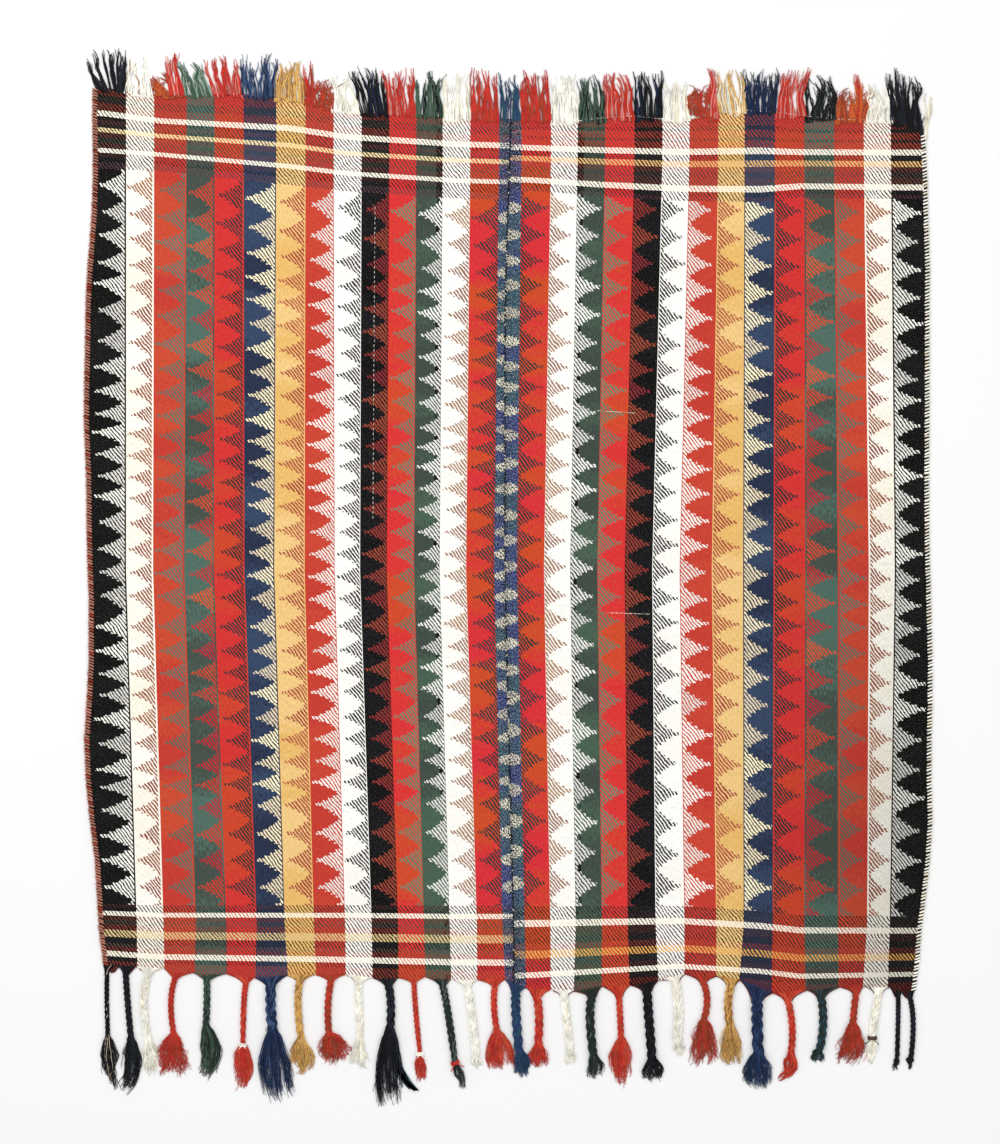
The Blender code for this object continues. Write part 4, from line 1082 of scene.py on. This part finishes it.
def tie_plait(context, number):
    """Yarn drawn round the plait's end in three rings, with its two free ends."""
    chance = np.random.default_rng(SEED * 1000 + number)
    end, wide_mm, tip = PLAITS[number - 1][4:7]
    wide, tall = wide_mm / 1000 * TIE_DRAW_IN, wide_mm / 1000 * PLAIT_FLATNESS
    end, way = np.array(end, float), np.array(tip, float) - np.array(end, float)
    way /= np.linalg.norm(way)
    side = np.array([way[1], -way[0]])
    dye = dye_mix(chance, 1, TIES[number], TIES[number], 0.0)
    made = Yarns()
    angle = np.linspace(-math.pi / 2, 1.5 * math.pi, 21)
    for ring in (-0.3, 0.2, 0.7):
        out = np.cos(angle) * (wide / 2 + 0.0019) / UNIT
        along = (ring + 0.08 * np.sin(angle)) * TIE_LONG / UNIT
        high = tall / 2 + 0.0012 + np.sin(angle) * (tall / 2 + 0.0008)
        path = lifted(end + way * along[:, None] + side * out[:, None], np.maximum(high, TIE_YARN_RADIUS))
        made.add(path[None], TIE_YARN_RADIUS, dye, sides=6, reference=(way[0], -way[1], 0.0))
    share = np.linspace(0, 1, 7)
    for hand in (-1, 1):
        start = end + way * 0.9 * TIE_LONG / UNIT + side * hand * 0.3 * wide / UNIT
        away = start + way * (share * 5)[:, None] + side * hand * (share * 3 + share**2 * 2)[:, None]
        made.add(lifted(away, tall * (1 - share) + 0.0012)[None], TIE_YARN_RADIUS, dye, sides=6)
    lay(context, made, "tie_yarn_%02d" % number, "tie_" + TIES[number], "tie_%02d" % number)


def overcast_selvedge(context, left):
    """Yarn wound over the selvedge in slanted stitches, over a dark core of turned-in warps."""
    chance = np.random.default_rng(SEED * 10 + left)
    yarn = context.scene.rug_yarn
    made = Yarns()
    wide = OVERCAST_LEFT_WIDE if left else OVERCAST_RIGHT_WIDE
    pitch = yarn.overcast_left if left else yarn.overcast_right
    column, inward = (LEFT_EDGE, 1) if left else (RIGHT_EDGE, -1)
    top, low = OVERCAST_LEFT_RUN if left else OVERCAST_RIGHT_RUN
    heights = np.arange(top, low, pitch / UNIT)
    count = len(heights)
    heights = heights + chance.normal(0, 0.25, count)
    slant = (2.6 if left else 1.8) + chance.normal(0, 0.35, count)
    # A stitch from the cloth outwards and back under: share of the overcasting's width, and of its height
    shares = np.array([1.0, 0.88, 0.55, 0.27, 0.12, 0.1, 0.25])
    talls = np.array([0.55, 0.78, 0.96, 0.92, 0.72, 0.52, 0.45]) * OVERCAST_TALL
    edge = edge_x(column, heights)[:, None]
    x = edge + inward * shares[None] * wide / UNIT + chance.normal(0, 0.15, (count, 1))
    y = heights[:, None] + slant[:, None] * (shares[None] - 0.5)
    thick = yarn.stitch_radius * chance.uniform(0.85, 1.15, (count, 1))
    dyes = dye_mix(chance, count, *(("salmon", "rust", 0.15) if left else ("white", "cream", 0.3)))
    made.add(placed(x, y, talls[None]), thick, dyes, sides=6, reference=(0.0, 1.0, 0.0))
    line = np.linspace(top, low, 160)
    core = placed(edge_x(column, line) + inward * 0.55 * wide / UNIT, line, 0.0014)
    dark = linear("3c1a14" if left else "2c2620")
    made.add(core[None], SELVEDGE_CORE_RADIUS, [dark], sides=8, wide=2.8)
    if not left:
        loose_end(made, chance, yarn)
    solid = "overcast_" + HANDS[left]
    lay(context, made, "overcast_stitches_" + HANDS[left], solid, solid)


def loose_end(made, chance, yarn):
    """The loose end of the right overcasting's yarn, and a few warps beside it."""
    points = 9
    share = np.linspace(0, 1, points)[None, :, None]
    for dye, count, start, tips in LOOSE_ENDS:
        roots = np.array(start) + chance.normal(0, (1.2, 0.6), (count, 2))
        ends = np.array(tips) + chance.normal(0, (2.2, 3.0), (count, 2))
        paths = roots[:, None] + (ends - roots)[:, None] * share
        paths[..., 0] += wander(chance, count, points, 1.2)
        z = chance.uniform(0.0008, 0.0026, (count, 1))
        thick = yarn.fringe_radius * np.linspace(1.0, 0.6, points)[None]
        made.add(lifted(paths, z), thick, dye_mix(chance, count, dye, dye, 0.0))


def stitch_seam(context):
    """Stitches to and fro over the meeting selvedges of the two widths, in dark and pale yarn."""
    chance = np.random.default_rng(SEED + 5)
    made = Yarns()
    heights = np.arange(SEAM_RUN[0] + 1.5, SEAM_RUN[1], context.scene.rug_yarn.seam_pitch / UNIT)
    count = len(heights)
    heights = heights + chance.normal(0, 0.2, count)
    middle = edge_x(SEAM_LINE, heights)
    hand = chance.uniform(-0.9, 0.9, count)
    shares = np.linspace(-1, 1, 7)
    half = SEAM_WIDE / 2 / UNIT * chance.uniform(0.35, 0.8, (count, 1))
    x = middle[:, None] + half * shares[None]
    y = heights[:, None] + hand[:, None] * 1.5 * shares[None]
    z = CLOTH_THICK - 0.0006 + 0.0013 * (1 - shares[None] ** 2)
    row = rows_of_teeth(False, middle, heights)
    inside = band_place(False, middle, heights) == BODY
    block = (np.abs(row - np.round(row)) < 0.2) & inside
    dark = chance.choice(["black", "navy", "ink", "blue", "cream"], count, p=[0.36, 0.28, 0.14, 0.16, 0.06])
    pale = chance.choice(["cream", "bone", "ink", "black"], count, p=[0.4, 0.2, 0.2, 0.2])
    dyes = np.array([linear(DYES[name]) for name in np.where(block, pale, dark)])
    made.add(placed(x, y, z), SEAM_YARN_RADIUS, dyes)
    line = np.linspace(*SEAM_RUN, 140)
    core = placed(edge_x(SEAM_LINE, line), line, 0.0012)
    made.add(core[None], SEAM_CORE_RADIUS, [linear("16181f")], sides=8)
    lay(context, made, "seam_stitches", "seam_stitches", "centre_seam")


def twine_edges(context):
    """A red cord twined along the scalloped lower edge of the right width, and pale twining stitches
    along its upper one."""
    chance = np.random.default_rng(SEED + 9)
    made = Yarns()
    spots = np.linspace(*TWINED_LOW, 420)
    y = np.interp(spots, *scallop(False))
    x = stripe_x(False, spots, y)
    for phase in (0.0, math.pi):
        angle = np.linspace(0, TWINE_TURNS * math.tau, len(spots)) + phase
        path = placed(x, y + 0.35 * np.cos(angle), 0.0019 + 0.0005 * np.sin(angle))
        made.add(path[None], CORD_YARN_RADIUS, [linear(DYES["maroon"])])
    spots = np.arange(*TWINED_TOP, 0.105)
    root = top_y(False, spots)
    x = stripe_x(False, spots, root) + chance.normal(0, 0.2, len(spots))
    shares = np.linspace(-1, 1, 5)[None]
    path = placed(x[:, None] + 0.9 * shares, root[:, None] - 0.3 + 0.5 * shares, 0.0029 - 0.0007 * shares**2)
    made.add(path, TWINE_YARN_RADIUS, dye_mix(chance, len(spots), "white", "cream", 0.3))
    lay(context, made, "twined_edges", "cloth_right")


def lay_stray_threads(context):
    """White threads that came into the wrong shed: one warp that shows in short floats, and two wefts."""
    chance = np.random.default_rng(SEED + 11)
    made = Yarns()
    share = np.linspace(-0.5, 0.5, 6)
    for first, last, floats, long in STRAY_THREADS:
        spots = between(first, last, ((np.arange(floats) + 0.5) / floats)[:, None])
        spots = spots + chance.normal(0, 0.15, spots.shape)
        way = np.array(last, float) - np.array(first, float)
        way /= np.linalg.norm(way)
        line = spots[:, None] + way * (share * long)[None, :, None]
        arch = CLOTH_THICK + 0.0002 + 0.0009 * (1 - (2 * share[None]) ** 2)
        path = lifted(line, arch)
        sideways = (1.0, 0.0, 0.0) if way[1] > 0.5 else (0.0, 1.0, 0.0)
        made.add(path, STRAY_RADIUS, dye_mix(chance, floats, "white", "bone", 0.2), reference=sideways)
    lay(context, made, "stray_threads", "cloth_left")


def set_stage(context):
    """A plain pale floor, soft studio light and a camera straight above the rug."""
    look = context.scene.rug_stage
    clear_selection()
    bpy.ops.mesh.primitive_plane_add(size=FLOOR_WIDE, location=(0.0, 0.0, FLOOR_HIGH))
    floor = context.active_object
    floor.name = "studio_floor"
    floor.data.materials.append(painted_board(look.floor))
    world = bpy.data.worlds.new("Studio")
    world.use_nodes = True
    background = world.node_tree.nodes["Background"]
    background.inputs["Color"].default_value = (1.0, 1.0, 1.0, 1.0)
    background.inputs["Strength"].default_value = look.fill
    context.scene.world = world
    for name, place, size, power in LAMPS:
        bpy.ops.object.light_add(type="AREA", location=place)
        lamp = context.active_object
        lamp.name = name
        lamp.data.size = size
        lamp.data.energy = look.key * power
        away = -np.array(place)
        flat = math.hypot(away[0], away[1])
        lamp.rotation_euler = (math.atan2(flat, -away[2]), 0.0, math.atan2(-away[0], away[1]))
    camera_data = bpy.data.cameras.new("Camera")
    camera_data.sensor_width = CAMERA_SENSOR
    camera_data.lens = CAMERA_SENSOR * CAMERA_HIGH / (VIEW_UNITS_TALL * UNIT)
    camera_data.clip_end = CAMERA_CLIP
    camera = bpy.data.objects.new("Camera", camera_data)
    context.scene.collection.objects.link(camera)
    camera.location = placed(*VIEW_MIDDLE, CAMERA_HIGH).tolist()
    context.scene.camera = camera
    context.scene.view_settings.view_transform = "Standard"


def length_of(name, description, default):
    """A property that is a length."""
    return bpy.props.FloatProperty(name=name, description=description, default=default, unit="LENGTH")


def ratio_of(name, description, default, low, high):
    """A property that is a plain ratio."""
    return bpy.props.FloatProperty(name=name, description=description, default=default, min=low, max=high)


def count_of(name, description, default, low, high):
    """A property that is a whole number."""
    return bpy.props.IntProperty(name=name, description=description, default=default, min=low, max=high)


class RugWeave(bpy.types.PropertyGroup):
    columns: count_of("Columns", "Grid columns across a stripe", 8, 4, 12)
    rows: count_of("Rows", "Grid rows along the warps", 200, 60, 300)
    rib_left: length_of("Left rib", "Spacing of the left width's ribs", 0.0064)
    rib_right: length_of("Right rib", "Spacing of the right width's ribs", 0.0066)
    rib_slope: ratio_of("Rib slope", "Rise of a rib over its run", 1.3, 0.5, 3.0)
    relief: length_of("Relief", "Height of the ribs", 0.0006)


class RugYarn(bpy.types.PropertyGroup):
    fringe_radius: length_of("Fringe radius", "Radius of a fringe yarn", 0.0012)
    fringe_fill: ratio_of("Fringe fill", "How full the fringe is", 1.7, 0.5, 3.0)
    lock_apart: length_of("Lock spacing", "Fringe width to a lock", 0.0082)
    tassel_radius: length_of("Tassel radius", "Radius of a tassel yarn", 0.0007)
    tassel_fill: ratio_of("Tassel fill", "Further yarns to each mm of a tassel's width", 3.2, 0.5, 8.0)
    stitch_radius: length_of("Stitch radius", "Radius of the selvedges' yarn", 0.00145)
    strand_yarns: count_of("Strand yarns", "Yarns in a plait's strand", 8, 3, 12)
    plait_pitch: ratio_of("Plait pitch", "A plait's repeat over its width", 2.5, 1.5, 6.0)
    overcast_left: length_of("Left stitches", "Spacing of the left stitches", 0.0052)
    overcast_right: length_of("Right stitches", "Spacing of the right stitches", 0.0060)
    seam_pitch: length_of("Seam stitches", "Spacing of the seam's stitches", 0.0030)
    relief: length_of("Relief", "Depth of the yarn's twist", 0.0003)


class RugStage(bpy.types.PropertyGroup):
    floor: bpy.props.FloatVectorProperty(
        name="Floor", description="Colour of the floor", default=(0.92, 0.92, 0.92), subtype="COLOR"
    )
    fill: ratio_of("Fill", "Strength of the light from all round", 0.72, 0.0, 5.0)
    key: bpy.props.FloatProperty(
        name="Key", description="Power of the key light", default=70.0, unit="POWER"
    )


class RUG_OT_weave(bpy.types.Operator):
    """Weave the two widths of the rug"""

    bl_idname = "rug.weave_widths"
    bl_label = "Weave widths"

    def execute(self, context):
        for left in (True, False):
            weave_width(context, left)
        return {"FINISHED"}


class RUG_OT_seam(bpy.types.Operator):
    """Stitch the two widths together"""

    bl_idname = "rug.stitch_seam"
    bl_label = "Stitch seam"

    def execute(self, context):
        stitch_seam(context)
        return {"FINISHED"}


class RUG_OT_overcast(bpy.types.Operator):
    """Overcast both selvedges"""

    bl_idname = "rug.overcast_selvedges"
    bl_label = "Overcast selvedges"

    def execute(self, context):
        for left in (True, False):
            overcast_selvedge(context, left)
        return {"FINISHED"}


class RUG_OT_fringe(bpy.types.Operator):
    """Lay out the cut fringe"""

    bl_idname = "rug.lay_fringe"
    bl_label = "Lay fringe"

    def execute(self, context):
        for left in (True, False):
            lay_fringe(context, left)
        return {"FINISHED"}


class RUG_OT_plaits(bpy.types.Operator):
    """Plait the warps at the lower end"""

    bl_idname = "rug.plait_warps"
    bl_label = "Plait warps"

    def execute(self, context):
        for number in range(1, len(PLAITS) + 1):
            plait_warps(context, number)
        return {"FINISHED"}


class RUG_OT_ties(bpy.types.Operator):
    """Tie yarn round the ends of some plaits"""

    bl_idname = "rug.tie_plaits"
    bl_label = "Tie plaits"

    def execute(self, context):
        for number in TIES:
            tie_plait(context, number)
        return {"FINISHED"}


class RUG_OT_twine(bpy.types.Operator):
    """Twine the ends of the right width"""

    bl_idname = "rug.twine_edges"
    bl_label = "Twine edges"

    def execute(self, context):
        twine_edges(context)
        return {"FINISHED"}


class RUG_OT_strays(bpy.types.Operator):
    """Lay the stray threads that show on the cloth"""

    bl_idname = "rug.lay_stray_threads"
    bl_label = "Lay stray threads"

    def execute(self, context):
        lay_stray_threads(context)
        return {"FINISHED"}


class RUG_OT_stage(bpy.types.Operator):
    """Set the floor, the light and the camera"""

    bl_idname = "rug.set_stage"
    bl_label = "Set stage"

    def execute(self, context):
        set_stage(context)
        return {"FINISHED"}


OPERATORS = (
    RUG_OT_stage, RUG_OT_weave, RUG_OT_seam, RUG_OT_overcast, RUG_OT_fringe, RUG_OT_plaits, RUG_OT_ties,
    RUG_OT_twine, RUG_OT_strays,
)


class RUG_PT_panel(bpy.types.Panel):
    """Sizes of the rug and the steps that make it"""

    bl_idname = "RUG_PT_panel"
    bl_label = "Flatweave rug"
    bl_space_type = "VIEW_3D"
    bl_region_type = "UI"
    bl_category = "Rug"

    def draw(self, context):
        for group in (context.scene.rug_weave, context.scene.rug_yarn, context.scene.rug_stage):
            for name in group.__annotations__:
                self.layout.prop(group, name)
        for operator in OPERATORS:
            self.layout.operator(operator.bl_idname)


CLASSES = (RugWeave, RugYarn, RugStage, *OPERATORS, RUG_PT_panel)


def register():
    for kind in CLASSES:
        bpy.utils.register_class(kind)
    bpy.types.Scene.rug_weave = bpy.props.PointerProperty(type=RugWeave)
    bpy.types.Scene.rug_yarn = bpy.props.PointerProperty(type=RugYarn)
    bpy.types.Scene.rug_stage = bpy.props.PointerProperty(type=RugStage)


def unregister():
    for name in ("rug_weave", "rug_yarn", "rug_stage"):
        delattr(bpy.types.Scene, name)
    for kind in reversed(CLASSES):
        bpy.utils.unregister_class(kind)


def main():
    register()
    bpy.ops.rug.set_stage()
    bpy.ops.rug.weave_widths()
    bpy.ops.rug.stitch_seam()
    bpy.ops.rug.overcast_selvedges()
    bpy.ops.rug.lay_fringe()
    bpy.ops.rug.plait_warps()
    bpy.ops.rug.tie_plaits()
    bpy.ops.rug.twine_edges()
    bpy.ops.rug.lay_stray_threads()
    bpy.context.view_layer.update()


if __name__ == "__main__":
    main()
